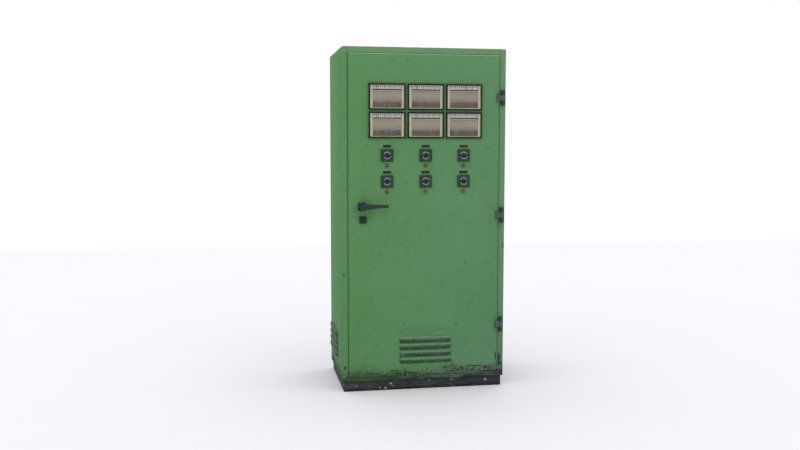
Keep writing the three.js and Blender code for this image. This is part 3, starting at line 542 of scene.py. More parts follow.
# Soft dark patches: painted shade around the three hinges and the lever, and darker patches near the foot and
# above the vent.
for x, z, wide, tall in ((372, 310, 26, 60), (372, 850, 26, 60), (372, 1417, 26, 60), (-290, 870, 60, 60),
                         (-300, 95, 95, 38), (0, 285, 150, 26)):
    patch = use_group(tree, scuff, Place=where, Centre=(x * MM, FRONT, z * MM),
                      Size=(wide * MM, 20 * MM, tall * MM))["Mask"]
    paint = coat(patch, 0.16, colour(46, 74, 46))
for x, z, wide, tall in ((362, 150, 4, 26), (380, 142, 9, 28), (384, 108, 12, 16)):
    patch = use_group(tree, scuff, Place=where, Centre=(x * MM, FRONT, z * MM),
                      Size=(wide * MM, 20 * MM, tall * MM))["Mask"]
    paint = coat(patch, 0.85, colour(34, 46, 38))
# Painted highlight: a light band along the door's top edge.
painted_top_highlight = both(on_door, within(high, gasket_hi.z - 1 * MM, gasket_hi.z + 3 * MM))
paint = coat(painted_top_highlight, 0.75, colour(146, 186, 148))

# %% Green paint: the vents
ragged = calc(tree, "MULTIPLY", calc(tree, "SUBTRACT", noise(tree, where, 85.0, 4.0, 0.7), 0.5), 30 * MM)
rough_high = calc(tree, "ADD", high, ragged)
vent_low, vent_high = VENT_FOOT - 10 * MM, VENT_FOOT + (VENT_ROWS - 0.3) * VENT_PITCH
from_vent = calc(tree, "ABSOLUTE", calc(tree, "SUBTRACT", across, VENT_SHIFT))
door_vent = both(on_front, below(calc(tree, "ADD", from_vent, ragged), 128 * MM))
side_vent = both(beyond(sideness, 399.4 * MM),
                 within(calc(tree, "ADD", deep, ragged), FRONT + 172 * MM, FRONT + 469 * MM))
vent_zone = both(either(door_vent, side_vent), within(rough_high, vent_low, vent_high))
step = calc(tree, "FRACT", calc(tree, "DIVIDE", calc(tree, "SUBTRACT", calc(
    tree, "ADD", high, calc(tree, "MULTIPLY", ragged, 0.45)), VENT_FOOT - 9 * MM), VENT_PITCH), 0)
patchy = fade(tree, noise(tree, stretched(tree, where, (0.5, 0.5, 1.2)), 42.0, 4.0, 0.65), 0.34, 0.5)
# Painted highlight with grey wear on the upper part of each hood.
lip_highlight_and_wear = both(both(vent_zone, fade(tree, step, 0.52, 0.66)), fade(tree, step, 1.0, 0.9))
paint = coat(both(lip_highlight_and_wear, patchy), 0.55, colour(108, 124, 108))
# Painted shade below each hood and in the gap under it.
vent_slot_shade = both(vent_zone, fade(tree, step, 0.66, 0.5))
paint = coat(both(vent_slot_shade, fade(tree, patchy, 0, 1, 0.6, 1)), 0.85, colour(42, 64, 46))
greyed = fade(tree, noise(tree, stretched(tree, where, (0.35, 0.35, 1.3)), 30.0, 5.0, 0.7), 0.5, 0.6)
paint = coat(both(vent_zone, greyed), 0.5, colour(96, 106, 102))
paint = coat(both(side_vent, vent_zone), 0.4, colour(56, 76, 60))
scratched = both(both(on_door, within(rough_high, VENT_FOOT + 118 * MM, VENT_FOOT + 150 * MM)),
                 below(calc(tree, "ADD", from_vent, calc(tree, "MULTIPLY", ragged, 2)), 118 * MM))
paint = coat(both(scratched, fade(tree, noise(tree, stretched(tree, where, (0.5, 1, 1)), 90.0, 4.0, 0.7),
                                  0.46, 0.62)),
             0.4, colour(118, 158, 118))

# %% Green paint: bare steel along the foot, at edges and in scuffs
rightward = fade(tree, across, -160 * MM, 380 * MM, 64 * MM, 88 * MM)
bare = both(use_group(tree, foot_grime, Place=where, Height=rightward)["Mask"], outside)
edges = use_group(tree, edge_wear, Place=where, Width=1.6 * MM, Amount=0.5)["Mask"]
bare = either(bare, calc(tree, "MULTIPLY", edges, 0.6))
scuffs = [
    ((-390, 572), (5, 9)), ((-387, 423), (4, 4)), ((-385, 120), (7, 9)), ((250, 104), (62, 4)),
    ((330, 97), (50, 6)), ((-330, 84), (30, 9)), ((-270, 80), (34, 12)),
    ((-262, 452), (3, 4)), ((205, 622), (5, 4)), ((120, 108), (45, 2.5)), ((-150, 96), (26, 5)),
    ((-60, 84), (60, 4)),
    ((-381, 980), (2, 6)), ((395, 700), (3, 16)), ((160, 320), (4, 5)), ((250, 350), (3, 4)),
    ((-95, 330), (3, 4)),
]
for (x, z), (wide, tall) in scuffs:
    patch = use_group(tree, scuff, Place=where, Centre=(x * MM, FRONT, z * MM),
                      Size=(wide * MM, 12 * MM, tall * MM))["Mask"]
    bare = either(bare, patch)
layers = noise(tree, stretched(tree, where, (0.12, 0.3, 1.6)), 110.0, 4.0, 0.6)
metal = mixed(tree, fade(tree, layers, 0.42, 0.62), colour(34, 42, 38), colour(90, 98, 92))
mossy = mixed(tree, fade(tree, layers, 0.42, 0.62), colour(36, 58, 36), colour(66, 92, 62))
metal = mixed(tree, fade(tree, across, -220 * MM, 60 * MM), mossy, metal)
dusty = fade(tree, calc(tree, "ADD", high, calc(tree, "MULTIPLY", ragged, 1.5)), 130 * MM, 75 * MM)
paint = coat(both(dusty, outside), 0.45, colour(84, 100, 82))
# Painted shadow: a dark line along the foot of the front.
foot_shadow_line = both(on_front, fade(tree, calc(tree, "ADD", high, calc(tree, "MULTIPLY", ragged, 0.3)), 66 * MM,
                                57 * MM))
paint = coat(foot_shadow_line, 0.85, colour(34, 44, 35))
paint = mixed(tree, calc(tree, "MULTIPLY", bare, 0.92), paint, metal)

peel = noise(tree, where, 700.0, 2.0)
worn_height = calc(tree, "SUBTRACT", calc(tree, "MULTIPLY", peel, 0.3), bare)
shader = principled(tree, Base_Color=paint, Roughness=calc(
    tree, "ADD", calc(tree, "MULTIPLY", bare, 0.12),
    fade(tree, noise(tree, where, 30.0), 0.3, 0.7, 0.52, 0.62)),
    Normal=bumped(tree, worn_height, 0.12 * MM, 0.6))
shader.inputs["Specular IOR Level"].default_value = 0.02
print(green_paint.name, "with", len(tree.nodes), "nodes")

# %% [markdown]
# ## Dark paint, iron and bare metals
#
# The plinth is black enamel, dusty and chipped to pale spots. Hinges, lever and lock are dark iron with a
# greenish or bluish cast. Zinc plating inside is a pale grey with a faint crystal spangle, and turned steel
# has fine streaks.

# %% Dark enamel and iron
def worn_dark(name, shade, other_shade, worn, roughness, metallic=0.0, wear=0.5, scale=14.0, gloss=0.15):
    finish, tree = material(name)
    where = place_of(tree)
    surface = use_group(tree, mottle, Place=where, Shade=shade, Scale=scale,
                        **{"Other shade": other_shade})["Color"]
    edges = use_group(tree, edge_wear, Place=where, Width=1.2 * MM, Amount=wear)["Mask"]
    surface = mixed(tree, edges, surface, worn)
    grain = noise(tree, where, 500.0, 3.0)
    shader = principled(tree, Base_Color=surface, Metallic=metallic,
                        Normal=bumped(tree, grain, 0.08 * MM, 0.5),
                        Roughness=fade(tree, grain, 0.3, 0.7, roughness - 0.07, roughness + 0.07))
    shader.inputs["Specular IOR Level"].default_value = gloss
    return finish


hinge_iron = worn_dark("painted_iron", colour(40, 54, 46), colour(58, 70, 64), colour(92, 100, 96), 0.6,
                       0.1, 0.55, 30.0)
hinge_link = worn_dark("hinge_link", colour(66, 84, 74), colour(86, 100, 92), colour(118, 126, 120), 0.6,
                       0.1, 0.6, 40.0)
black_metal = worn_dark("black_casting", colour(18, 38, 34), colour(34, 48, 54), colour(58, 70, 74), 0.42,
                        0.0, 0.3, 22.0, 0.3)
lock_black = worn_dark("lock_black", colour(12, 36, 22), colour(30, 52, 38), colour(64, 84, 70), 0.45, 0.0,
                       0.4, 40.0)
switch_plastic = worn_dark("switch_moulding", colour(36, 60, 45), colour(46, 71, 55), colour(66, 84, 74),
                           0.5, 0, 0.5)
black_plastic = worn_dark("black_moulding", colour(20, 26, 28), colour(28, 35, 37), colour(44, 50, 52), 0.4,
                          0, 0.2,
                          gloss=0.3)
label_green = worn_dark("label_green", colour(30, 52, 32), colour(40, 62, 42), colour(50, 72, 52), 0.6, 0,
                        0.3, gloss=0.05)
meter_black = worn_dark("meter_black", colour(16, 26, 12), colour(26, 38, 19), colour(60, 72, 50), 0.55, 0,
                        0.4)
rubber = worn_dark("seal_rubber", colour(26, 27, 27), colour(38, 39, 39), colour(48, 48, 48), 0.8, 0, 0.1)
laminations = worn_dark("core_laminations", colour(58, 62, 64), colour(82, 86, 88), colour(120, 122, 122),
                        0.5, 0.6, 0.4)

plinth_paint, tree = material("plinth_enamel")
where = place_of(tree)
across, deep, high = xyz(tree, where)
surface = use_group(tree, mottle, Place=where, Shade=colour(36, 41, 42), Scale=9.0,
                    **{"Other shade": colour(56, 60, 62)})["Color"]
surface = mixed(tree, fade(tree, across, -150 * MM, -400 * MM, 0.0, 0.5), surface, colour(72, 70, 76))
surface = mixed(tree, fade(tree, across, 0, 400 * MM, 0.0, 0.45), surface, colour(30, 34, 34))
# Painted contact shadow: the plinth darkens to near black at its foot.
shaded = fade(tree, high, 3 * MM, 20 * MM, 0.9, 0.0)
surface = mixed(tree, shaded, surface, colour(18, 18, 22))
# Painted shade under the cabinet's body, along the plinth's top.
shaded = fade(tree, high, 42 * MM, 49 * MM, 0.0, 0.6)
surface = mixed(tree, shaded, surface, colour(24, 28, 26))
streaks = fade(tree, noise(tree, stretched(tree, where, (0.15, 0.15, 1.6)), 120.0, 4.0), 0.52, 0.66, 0.0, 0.5)
surface = mixed(tree, streaks, surface, colour(84, 92, 88))
chips = fade(tree, noise(tree, stretched(tree, where, (0.6, 0.6, 1.0)), 85.0, 2.0), 0.70, 0.74)
surface = mixed(tree, calc(tree, "MULTIPLY", chips, 0.85), surface, colour(164, 168, 166))
for x, z, size in ((-162, 31, 7), (-214, 13, 5), (-187, 11, 6), (314, 30, 7), (142, 38, 5), (-330, 25, 4),
                   (30, 40, 4)):
    chip = use_group(tree, scuff, Place=where, Centre=(x * MM, FRONT + 9 * MM, z * MM),
                     Size=(size * MM, 20 * MM, size * 0.7 * MM))["Mask"]
    surface = mixed(tree, calc(tree, "MULTIPLY", chip, 0.8), surface, colour(166, 170, 168))
edges = use_group(tree, edge_wear, Place=where, Width=1.5 * MM, Amount=0.4)["Mask"]
surface = mixed(tree, edges, surface, colour(80, 84, 84))
shader = principled(tree, Base_Color=surface,
                    Roughness=fade(tree, noise(tree, where, 40.0), 0.3, 0.7, 0.6, 0.75),
                    Normal=bumped(tree, calc(tree, "ADD", noise(tree, where, 260.0), chips), 0.15 * MM, 0.5))
shader.inputs["Specular IOR Level"].default_value = 0.15
print("dark finishes ready")

# %% Bare and plated metals
def bare_metal(name, shade, other_shade, roughness, streak=(1, 1, 1), scale=60.0, metallic=0.9):
    finish, tree = material(name)
    where = place_of(tree)
    streaked = noise(tree, stretched(tree, where, streak), scale, 4.0, 0.6)
    surface = mixed(tree, fade(tree, streaked, 0.32, 0.68), shade, other_shade)
    stain = fade(tree, noise(tree, where, 9.0, 4.0), 0.55, 0.8, 0.0, 0.4)
    surface = mixed(tree, stain, surface, colour(112, 106, 96))
    principled(tree, Base_Color=surface, Metallic=metallic,
               Roughness=fade(tree, streaked, 0.3, 0.7, roughness - 0.08, roughness + 0.1),
               Normal=bumped(tree, streaked, 0.04 * MM, 0.4))
    return finish


steel = bare_metal("bright_steel", colour(150, 153, 156), colour(182, 184, 186), 0.36, (1, 1, 0.08), 900.0,
                   1.0)
zinc = bare_metal("dull_zinc", colour(164, 168, 170), colour(190, 193, 194), 0.45, (1, 1, 1), 55.0, 0.85)
ring_metal = bare_metal("ring_metal", colour(104, 114, 117), colour(134, 143, 146), 0.4, (1, 1, 1), 200.0,
                        0.9)
brass = bare_metal("brass", colour(176, 146, 84), colour(200, 170, 104), 0.35, (1, 1, 1), 300.0, 1.0)
print("bare metals ready")

# %% [markdown]
# ## Plastics, chart paper, lenses and glass
#
# The meter faces are cream enamel gone slightly uneven, around a grey-brown strip of chart paper ruled with
# fine lines. The pilot lenses are unlit, a deep red that goes brownish with dust. The window panes are
# plain glass.

# %% Plain mouldings
def moulded(name, shade, other_shade, roughness, scale=30.0, coat=0.0):
    finish, tree = material(name)
    where = place_of(tree)
    surface = use_group(tree, mottle, Place=where, Shade=shade, Scale=scale,
                        **{"Other shade": other_shade})["Color"]
    grain = noise(tree, where, 900.0, 2.0)
    shader = principled(tree, Base_Color=surface, Normal=bumped(tree, grain, 0.03 * MM, 0.4),
                        Roughness=fade(tree, grain, 0.3, 0.7, roughness - 0.05, roughness + 0.05))
    shader.inputs["Coat Weight"].default_value = coat
    shader.inputs["Specular IOR Level"].default_value = 0.25
    return finish


scale_white = moulded("scale_white", colour(206, 200, 196), colour(218, 212, 206), 0.5, 20.0)
grey_plastic = moulded("grey_moulding", colour(138, 142, 140), colour(156, 160, 157), 0.55)
cream_plastic = moulded("cream_moulding", colour(198, 190, 162), colour(212, 205, 180), 0.5)
ink = moulded("scale_ink", colour(28, 27, 25), colour(40, 38, 35), 0.6)
pointer_black = moulded("pointer_black", colour(24, 20, 20), colour(36, 28, 26), 0.5)
amber_lens = moulded("amber_lens", colour(106, 64, 38), colour(88, 68, 40), 0.3, 160.0, 0.1)
lamp_brass = moulded("lamp_brass", colour(142, 108, 74), colour(128, 112, 78), 0.5, 120.0)
coil_tape = moulded("coil_tape", colour(178, 150, 84), colour(194, 168, 102), 0.5, 24.0)

# %% The meters' cream face and its slot, the chart paper and the dark band
meter_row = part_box("meter_case_1")[0].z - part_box("meter_case_4")[0].z
meter_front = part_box("meter_case_1")[0].y


def row_height(tree, high):
    """Height within a meter, from 60 mm below its middle, whichever row it is in."""
    middle = (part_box("meter_case_4")[0].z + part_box("meter_case_4")[1].z) / 2
    share = calc(tree, "FRACT", calc(tree, "DIVIDE", calc(tree, "SUBTRACT", high, middle - 60 * MM),
                                     meter_row), 0)
    return calc(tree, "MULTIPLY", share, meter_row)


def checked(tree, value, low, high):
    return calc(tree, "MULTIPLY", calc(tree, "GREATER_THAN", value, low),
                calc(tree, "LESS_THAN", value, high))


cream, tree = material("meter_cream")
where = place_of(tree)
across, deep, high = xyz(tree, where)
surface = use_group(tree, mottle, Place=where, Shade=colour(206, 201, 174), Scale=16.0,
                    **{"Other shade": colour(220, 213, 188)})["Color"]
# Painted shade: the face darkens on its deeper, sunken walls.
sunk = fade(tree, deep, meter_front + 4.4 * MM, meter_front + 9 * MM)
surface = mixed(tree, calc(tree, "MULTIPLY", sunk, 0.6), surface, colour(120, 110, 98))
# Painted shade: the inside of the pointer's slot is near black.
meter_slot_shade = calc(tree, "MULTIPLY", checked(tree, row_height(tree, high), 90.2 * MM, 94.8 * MM),
               calc(tree, "GREATER_THAN", deep, meter_front + 4.3 * MM))
surface = mixed(tree, meter_slot_shade, surface, colour(22, 18, 16))
grain = noise(tree, where, 900.0, 2.0)
shader = principled(tree, Base_Color=surface, Roughness=fade(tree, grain, 0.3, 0.7, 0.45, 0.55))
shader.inputs["Specular IOR Level"].default_value = 0.2

chart_paper, tree = material("chart_paper")
where = place_of(tree)
across, deep, high = xyz(tree, where)
surface = use_group(tree, mottle, Place=where, Shade=colour(168, 152, 142), Scale=12.0,
                    **{"Other shade": colour(178, 166, 150)})["Color"]
ruling = calc(tree, "LESS_THAN", calc(tree, "FRACT", calc(tree, "DIVIDE", across, 4.675 * MM), 0), 0.08)
surface = mixed(tree, calc(tree, "MULTIPLY", ruling, 0.2), surface, colour(126, 110, 99))
# The paper darkens towards the band at its foot.
darker_towards_band = fade(tree, row_height(tree, high), 58 * MM, 30 * MM, 0.0, 0.7)
surface = mixed(tree, darker_towards_band, surface, colour(112, 102, 94))
# Painted shade under the chart window's upper edge.
shaded = fade(tree, row_height(tree, high), 82 * MM, 87 * MM, 0.0, 0.5)
surface = mixed(tree, shaded, surface, colour(104, 96, 90))
principled(tree, Base_Color=surface, Roughness=fade(tree, noise(tree, where, 300.0), 0.3, 0.7, 0.6, 0.7))

chart_band, tree = material("chart_band")
where = place_of(tree)
across, deep, high = xyz(tree, where)
strokes = noise(tree, stretched(tree, where, (1.0, 1.0, 0.1)), 150.0, 4.0, 0.6)
surface = mixed(tree, fade(tree, strokes, 0.4, 0.62), colour(92, 84, 78), colour(122, 112, 104))
lift = calc(tree, "ADD", row_height(tree, high), fade(tree, strokes, 0.35, 0.65, -4 * MM, 4 * MM))
surface = mixed(tree, fade(tree, lift, 30 * MM, 38 * MM, 0.0, 0.7), surface, colour(142, 130, 120))
shader = principled(tree, Base_Color=surface, Roughness=fade(tree, strokes, 0.3, 0.7, 0.45, 0.6))
shader.inputs["Specular IOR Level"].default_value = 0.1

# %% Window glass
glass, tree = material("window_glass")
where = place_of(tree)
dusty = fade(tree, noise(tree, where, 35.0, 4.0), 0.35, 0.75, 0.03, 0.14)
shader = principled(tree, Roughness=dusty, IOR=1.3)
shader.inputs["Transmission Weight"].default_value = 1.0
shader.inputs["Base Color"].default_value = (0.97, 0.98, 0.96, 1)
print("materials", len(bpy.data.materials))

# %% [markdown]
# ## Putting a piece on its body
#
# Each piece gets its finish and the body it moves with. Where it stands for a imported part, that part is
# hidden.

# %% Place
def place(piece, body, finish, stands_for=()):
    if finish is not None:
        piece.data.materials.clear()
        piece.data.materials.append(finish)
    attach(piece, body)
    if stands_for:
        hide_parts(*stands_for)
    return piece


# %% [markdown]
# ## Pressed vent hoods
#
# A louvre is a slit whose upper edge is pressed outwards into a hood, so rain runs off and warm air gets
# out below. One hood starts as a block. Its outer top edge and its two ends are rounded, its back and its
# underside are removed, and what is left is given the thickness of the sheet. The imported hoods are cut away
# from the panel first.

# %% One hood
def vent_hood(name, width, reach, foot, top):
    """A hood on a sheet whose outer face is at y = 0 and whose middle is x = 0; it stands out towards -Y."""
    sheet = 1.5 * MM
    piece = block(name, (-width / 2, -reach, foot), (width / 2, sheet, top))
    with shaping(piece):
        pick_edges(piece, lambda centre, along: abs(along.x) > 0.9 and centre.y < 0 and centre.z > foot + MM)
        bpy.ops.mesh.bevel(offset=reach * 0.9, segments=6, affect="EDGES")
        pick_edges(piece, lambda centre, along: centre.y < -reach * 0.2 and abs(centre.x) > width / 2 - 0.1
                   * MM
                   and centre.z > foot + 0.1 * MM)
        bpy.ops.mesh.bevel(offset=7 * MM, segments=5, affect="EDGES")
        pick_faces(piece, lambda centre, normal: normal.y > 0.9 or normal.z < -0.9)
        bpy.ops.mesh.delete(type="FACE")
    apply(piece, "SOLIDIFY", thickness=sheet, offset=-1)
    return smooth(piece, 40)


def hood_stack(name, width, reach, turn, move):
    hood = vent_hood(name, width, reach, VENT_FOOT, VENT_FOOT + VENT_RISE)
    stack = repeated(name, hood, [(0, 0, VENT_PITCH * row) for row in range(1, VENT_ROWS)])
    only(stack)
    stack.rotation_euler.z = turn
    stack.location = move
    bpy.ops.object.transform_apply(location=True, rotation=True, scale=True)
    return stack


def drop_hoods(outer_face, outward):
    """Cuts off whatever stands proud of a sheet's outer face."""
    return lambda piece: split(Vector(outer_face) + Vector(outward) * 0.05 * MM, outward, clear_outer=True,
                               fill=True)


# %% The door: one folded pan with its vent
door = sheet_copy("door_skin", "door_panel", 0.6 * MM, shape=drop_hoods((0, DOOR_FACE, 0), (0, -1, 0)))
door_hoods = hood_stack("door_vent", VENT_WIDTH, 9 * MM, 0, (VENT_SHIFT, DOOR_FACE, 0))
place(joined("door_skin", [door, door_hoods]), "door", green_paint, stands_for=["door_panel"])

# %% The two sides
for side, node in ((-1, "left_side_panel"), (1, "right_side_panel")):
    wall_x = side * 400 * MM
    wall = sheet_copy(node + "_sheet", node, 0.6 * MM, shape=drop_hoods((wall_x, 0, 0), (side, 0, 0)))
    middle = (FRONT + 320 * MM)
    hoods = hood_stack(node + "_vent", SIDE_VENT_WIDTH, 9 * MM, side * math.pi / 2, (wall_x, middle, 0))
    place(joined(node + "_sheet", [wall, hoods]), "cabinet", green_paint, stands_for=[node])

# %% Roof, rear, front frame, floor, plinth, gland plate and mounting plate
folded = {"roof_panel": green_paint, "rear_panel": green_paint, "front_frame": green_paint,
          "floor_panel": green_paint, "plinth": plinth_paint, "gland_plate": zinc, "mounting_plate": zinc,
          "mounting_rail": steel, "wiring_duct": grey_plastic, "latch_housing": zinc}
for node, finish in folded.items():
    body = "door" if node == "latch_housing" else "cabinet"
    place(sheet_copy(node + "_sheet", node, 0.5 * MM), body, finish, stands_for=[node])
place(sheet_copy("door_seal", "door_gasket", 1.2 * MM, 3), "door", rubber, stands_for=["door_gasket"])
print("folded parts", len(folded) + 4)

# %% [markdown]
# ## Screws
#
# A pan-head screw is a short round bar. Its rim is rounded twice, and a slot is pushed into its top: two
# cuts either side of the middle leave a strip of the head that moves down. One is modelled facing -Y, then
# turned and copied.

# %% One screw, and rows of them
def screw(name, radius=4 * MM, height=2.4 * MM):
    piece = bar(name, (0, -height / 2, 0), radius, height, "Y", 16)
    with shaping(piece):
        pick_edges(piece, lambda centre, along: centre.y < -height * 0.9 and abs(along.y) < 0.1)
        bpy.ops.mesh.bevel(offset=height * 0.4, segments=2, affect="EDGES")
        for side in (-1, 1):
            split((0, 0, side * radius * 0.14), (0, 0, 1))
        pick_faces(piece, lambda centre, normal: normal.y < -0.9 and abs(centre.z) < radius * 0.1)
        push((0, height * 0.45, 0))
    return smooth(piece)


def screws(name, places, facing_turn, body, finish=None, radius=4 * MM, height=2.4 * MM):
    """Screws at their places, turned about Z to face outwards, or about X to face up."""
    first = screw(name, radius, height)
    only(first)
    first.rotation_euler = facing_turn
    bpy.ops.object.transform_apply(location=False, rotation=True, scale=False)
    copies = [copied(first, name, spot) for spot in places]
    bpy.data.objects.remove(first)
    return place(joined(name, copies), body, finish or steel)


FRONT_FACING, REAR_FACING = (0, 0, 0), (0, 0, math.pi)

# %% [markdown]
# The rear panel is screwed to the side flanges. Its screws are countersunk, so nothing stands proud of the
# panel and the cabinet can stand flat against a wall. Round cutters make the wells, and the heads sit just
# below the face.

# %% Countersunk screws in the rear panel
rear_spots = [Vector((side * 388 * MM, cad_hi.y, z * MM)) for side in (-1, 1)
              for z in (95, 398, 701, 1004, 1307, 1610)]
rear_spots += [Vector((x * MM, cad_hi.y, z * MM)) for x in (-200, 0, 200) for z in (61, 1639)]
cutter = bar("rear_well_cutter", (0, 0, 0), 5 * MM, 2 * MM, "Y", 20)
cutters = repeated("rear_well_cutter", copied(cutter, "rear_well_cutter_first", rear_spots[0]),
                   [spot - rear_spots[0] for spot in rear_spots[1:]])
bpy.data.objects.remove(cutter)
rear_sheet = bpy.data.objects["rear_panel_sheet"]
apply(rear_sheet, "BOOLEAN", operation="DIFFERENCE", object=cutters)
bpy.data.objects.remove(cutters)
smooth(rear_sheet)
sunk = Vector((0, -0.9 * MM, 0))
screws("rear_screws", [spot + sunk for spot in rear_spots], REAR_FACING, "cabinet", height=0.8 * MM)
print("rear screws", len(rear_spots))

# %% [markdown]
# ## The strip meters
#
# A strip meter has a black housing that fills a window in the door, with a narrow rim in front. Inside the
# rim lies a cream face plate with a scale along its top, a slot in which the pointer travels, and a tall
# chart window over grey-brown paper. A dark band closes the window's foot. A glass pane covers it all. The
# housing is one block whose front is inset and pushed in to make the rim and the well, and whose back is
# inset and pulled out into the body.

# %% Meter housing
meter_lo, meter_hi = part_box("meter_case_1")
meter_mid = (meter_lo + meter_hi) / 2
RIM = 6.5 * MM
FLANGE_BACK = meter_lo.y + 8 * MM
WELL = 17 * MM

housing = block("meter_housing", meter_lo, (meter_hi.x, FLANGE_BACK, meter_hi.z))
with shaping(housing):
    pick_faces(housing, facing((0, -1, 0)))
    inset(RIM)
    push((0, WELL, 0))
    pick_faces(housing, facing((0, 1, 0)))
    inset(4.5 * MM)
    push((0, 30 * MM, 0))
    for _ in range(5):
        ledge((0.985, 1, 0.98), meter_mid)
        push((0, 3 * MM, 0))
        ledge((1 / 0.985, 1, 1 / 0.98), meter_mid)
        push((0, 14 * MM, 0))
    push((0, meter_hi.y - FLANGE_BACK - (30 + 5 * 17) * MM, 0))
    inset(9 * MM)
    push((0, -5 * MM, 0))
soften(housing, 0.9 * MM, 3)
print(housing.name, [round(v * 1000) for v in housing.dimensions], "mm")

# %% [markdown]
# The face plate starts as one block that fills the well. Cuts along the window's and the slot's edges leave
# two rectangles on its front, which are pushed in. The chart paper hangs in the window, bowed a little
# forward over its drum, so the light falls off towards its top and foot.

# %% Face plate
FACE = meter_lo.y + 4 * MM
CHART_HALF = 69.5 * MM
CHART_TOP, CHART_FOOT = meter_mid.z + 26.5 * MM, meter_mid.z - 51.5 * MM
SLOT_LOW, SLOT_HIGH = meter_mid.z + 31 * MM, meter_mid.z + 34 * MM
inner_lo = meter_lo + Vector((RIM + 0.1 * MM, 0, RIM + 0.1 * MM))
inner_hi = meter_hi - Vector((RIM + 0.1 * MM, 0, RIM + 0.1 * MM))

face_plate = block("meter_face", (inner_lo.x, FACE, inner_lo.z), (inner_hi.x, FACE + 12.8 * MM, inner_hi.z))
with shaping(face_plate):
    for x in (meter_mid.x - CHART_HALF, meter_mid.x + CHART_HALF):
        split((x, 0, 0), LEFT_RIGHT)
    for z in (CHART_FOOT, CHART_TOP, SLOT_LOW, SLOT_HIGH):
        split((0, 0, z), UP_DOWN)
    for low, high in ((CHART_FOOT, CHART_TOP), (SLOT_LOW, SLOT_HIGH)):
        pick_faces(face_plate, lambda centre, normal: normal.y < -0.9 and low < centre.z < high
                   and abs(centre.x - meter_mid.x) < CHART_HALF)
        push((0, 12 * MM, 0))
soften(face_plate, 0.5 * MM, 2)

# %% Chart paper, bowed over its drum
paper = block("chart_paper", (meter_mid.x - CHART_HALF + 0.2 * MM, FACE + 5 * MM, CHART_FOOT + 0.3 * MM),
              (meter_mid.x + CHART_HALF - 0.2 * MM, FACE + 10 * MM, CHART_TOP - 0.2 * MM))
chart_mid = (CHART_FOOT + CHART_TOP) / 2
with shaping(paper):
    rows = 12
    for row in range(1, rows):
        split((0, 0, CHART_FOOT + (CHART_TOP - CHART_FOOT) * row / rows), UP_DOWN)
    for row in range(rows + 1):
        z = CHART_FOOT + (CHART_TOP - CHART_FOOT) * row / rows
        bow = 1 - (2 * (z - chart_mid) / (CHART_TOP - CHART_FOOT)) ** 2
        pick_edges(paper, lambda centre, along: abs(along.x) > 0.9 and abs(centre.z - z) < MM
                   and centre.y < FACE + 6 * MM)
        bpy.ops.transform.translate(value=(0, -3 * MM * bow, 0))
smooth(paper, 60)

# %% Dark band at the window's foot, with its pins
BAND_TOP = meter_mid.z - 23.5 * MM
band = block("chart_band", (meter_mid.x - CHART_HALF + 0.3 * MM, FACE + 1.2 * MM, CHART_FOOT + 0.3 * MM),
             (meter_mid.x + CHART_HALF - 0.3 * MM, FACE + 8 * MM, BAND_TOP))
with shaping(band):
    pick_edges(band, lambda centre, along: abs(along.x) > 0.9 and centre.y < FACE + 2 * MM
               and centre.z > BAND_TOP - MM)
    bpy.ops.mesh.bevel(offset=3 * MM, segments=4, affect="EDGES")
smooth(band)
pin_first = block("band_pin", (meter_mid.x - 62 * MM, FACE + 0.6 * MM, CHART_FOOT + 4 * MM),
                  (meter_mid.x - 60.8 * MM, FACE + 2 * MM, CHART_FOOT + 17 * MM))
soften(pin_first, 0.25 * MM, 1)
pins = repeated("band_pins", pin_first, [(x * MM, 0, 0) for x in (14, 28, 34, 48, 62, 74, 88, 101, 115, 122)])
print("meter face at", round(FACE, 4), "window", round(2 * CHART_HALF, 4))

# %% [markdown]
# The scale is printed on real meters, but raised ink keeps its edge from every distance. A short tick, a
# middle one and a long one are each a thin block, repeated along the top of the face. The numbers are plain
# dial numbers. Dark strips above and below the pointer's slot are painted shade that widens its dark line,
# and a light moulding lies under the lower one.

# %% Scale ticks and dial numbers
TICK_TOP = meter_mid.z + 54.6 * MM
TICKS = 15


def tick(name, length, width):
    x = meter_mid.x - CHART_HALF + MM
    return block(name, (x - width / 2, FACE - 0.3 * MM, TICK_TOP - length),
                 (x + width / 2, FACE + 0.1 * MM, TICK_TOP))


spacing = (2 * CHART_HALF - 2 * MM) / TICKS
parts = []
for name, length, width, wanted in (("long", 12, 3.4, lambda i: i % 3 == 0),
                                    ("short", 9.5, 3.0, lambda i: i % 3)):
    where_to = [(spacing * i, 0, 0) for i in range(TICKS + 1) if wanted(i)]
    first = tick(name + "_tick", length * MM, width * MM)
    parts += [copied(first, name + "_tick_copy", move) for move in where_to]
    bpy.data.objects.remove(first)
for number in range(6):
    bpy.ops.object.select_all(action="DESELECT")
    bpy.ops.object.text_add(rotation=(math.pi / 2, 0, 0), location=(
        meter_mid.x - CHART_HALF + MM + spacing * 3 * number
        + (2.4 * MM if number == 0 else -2.4 * MM if number == 5 else 0),
        FACE - 0.2 * MM, TICK_TOP - 17 * MM))
    text = bpy.context.object
    text.data.body, text.data.size, text.data.align_x = str(number * 20), 4.6 * MM, "CENTER"
    text.data.resolution_u, text.data.extrude = 2, 0.1 * MM
    bpy.ops.object.convert(target="MESH")
    parts.append(named("dial_number"))
scale_marks = joined("meter_scale", parts)
scale_strip = block("scale_strip", (meter_mid.x - 77 * MM, FACE - 0.15 * MM, SLOT_HIGH + 1.4 * MM),
                    (meter_mid.x + 77 * MM, FACE + 0.5 * MM, TICK_TOP + 0.6 * MM))
soften(scale_strip, 0.1 * MM, 1)
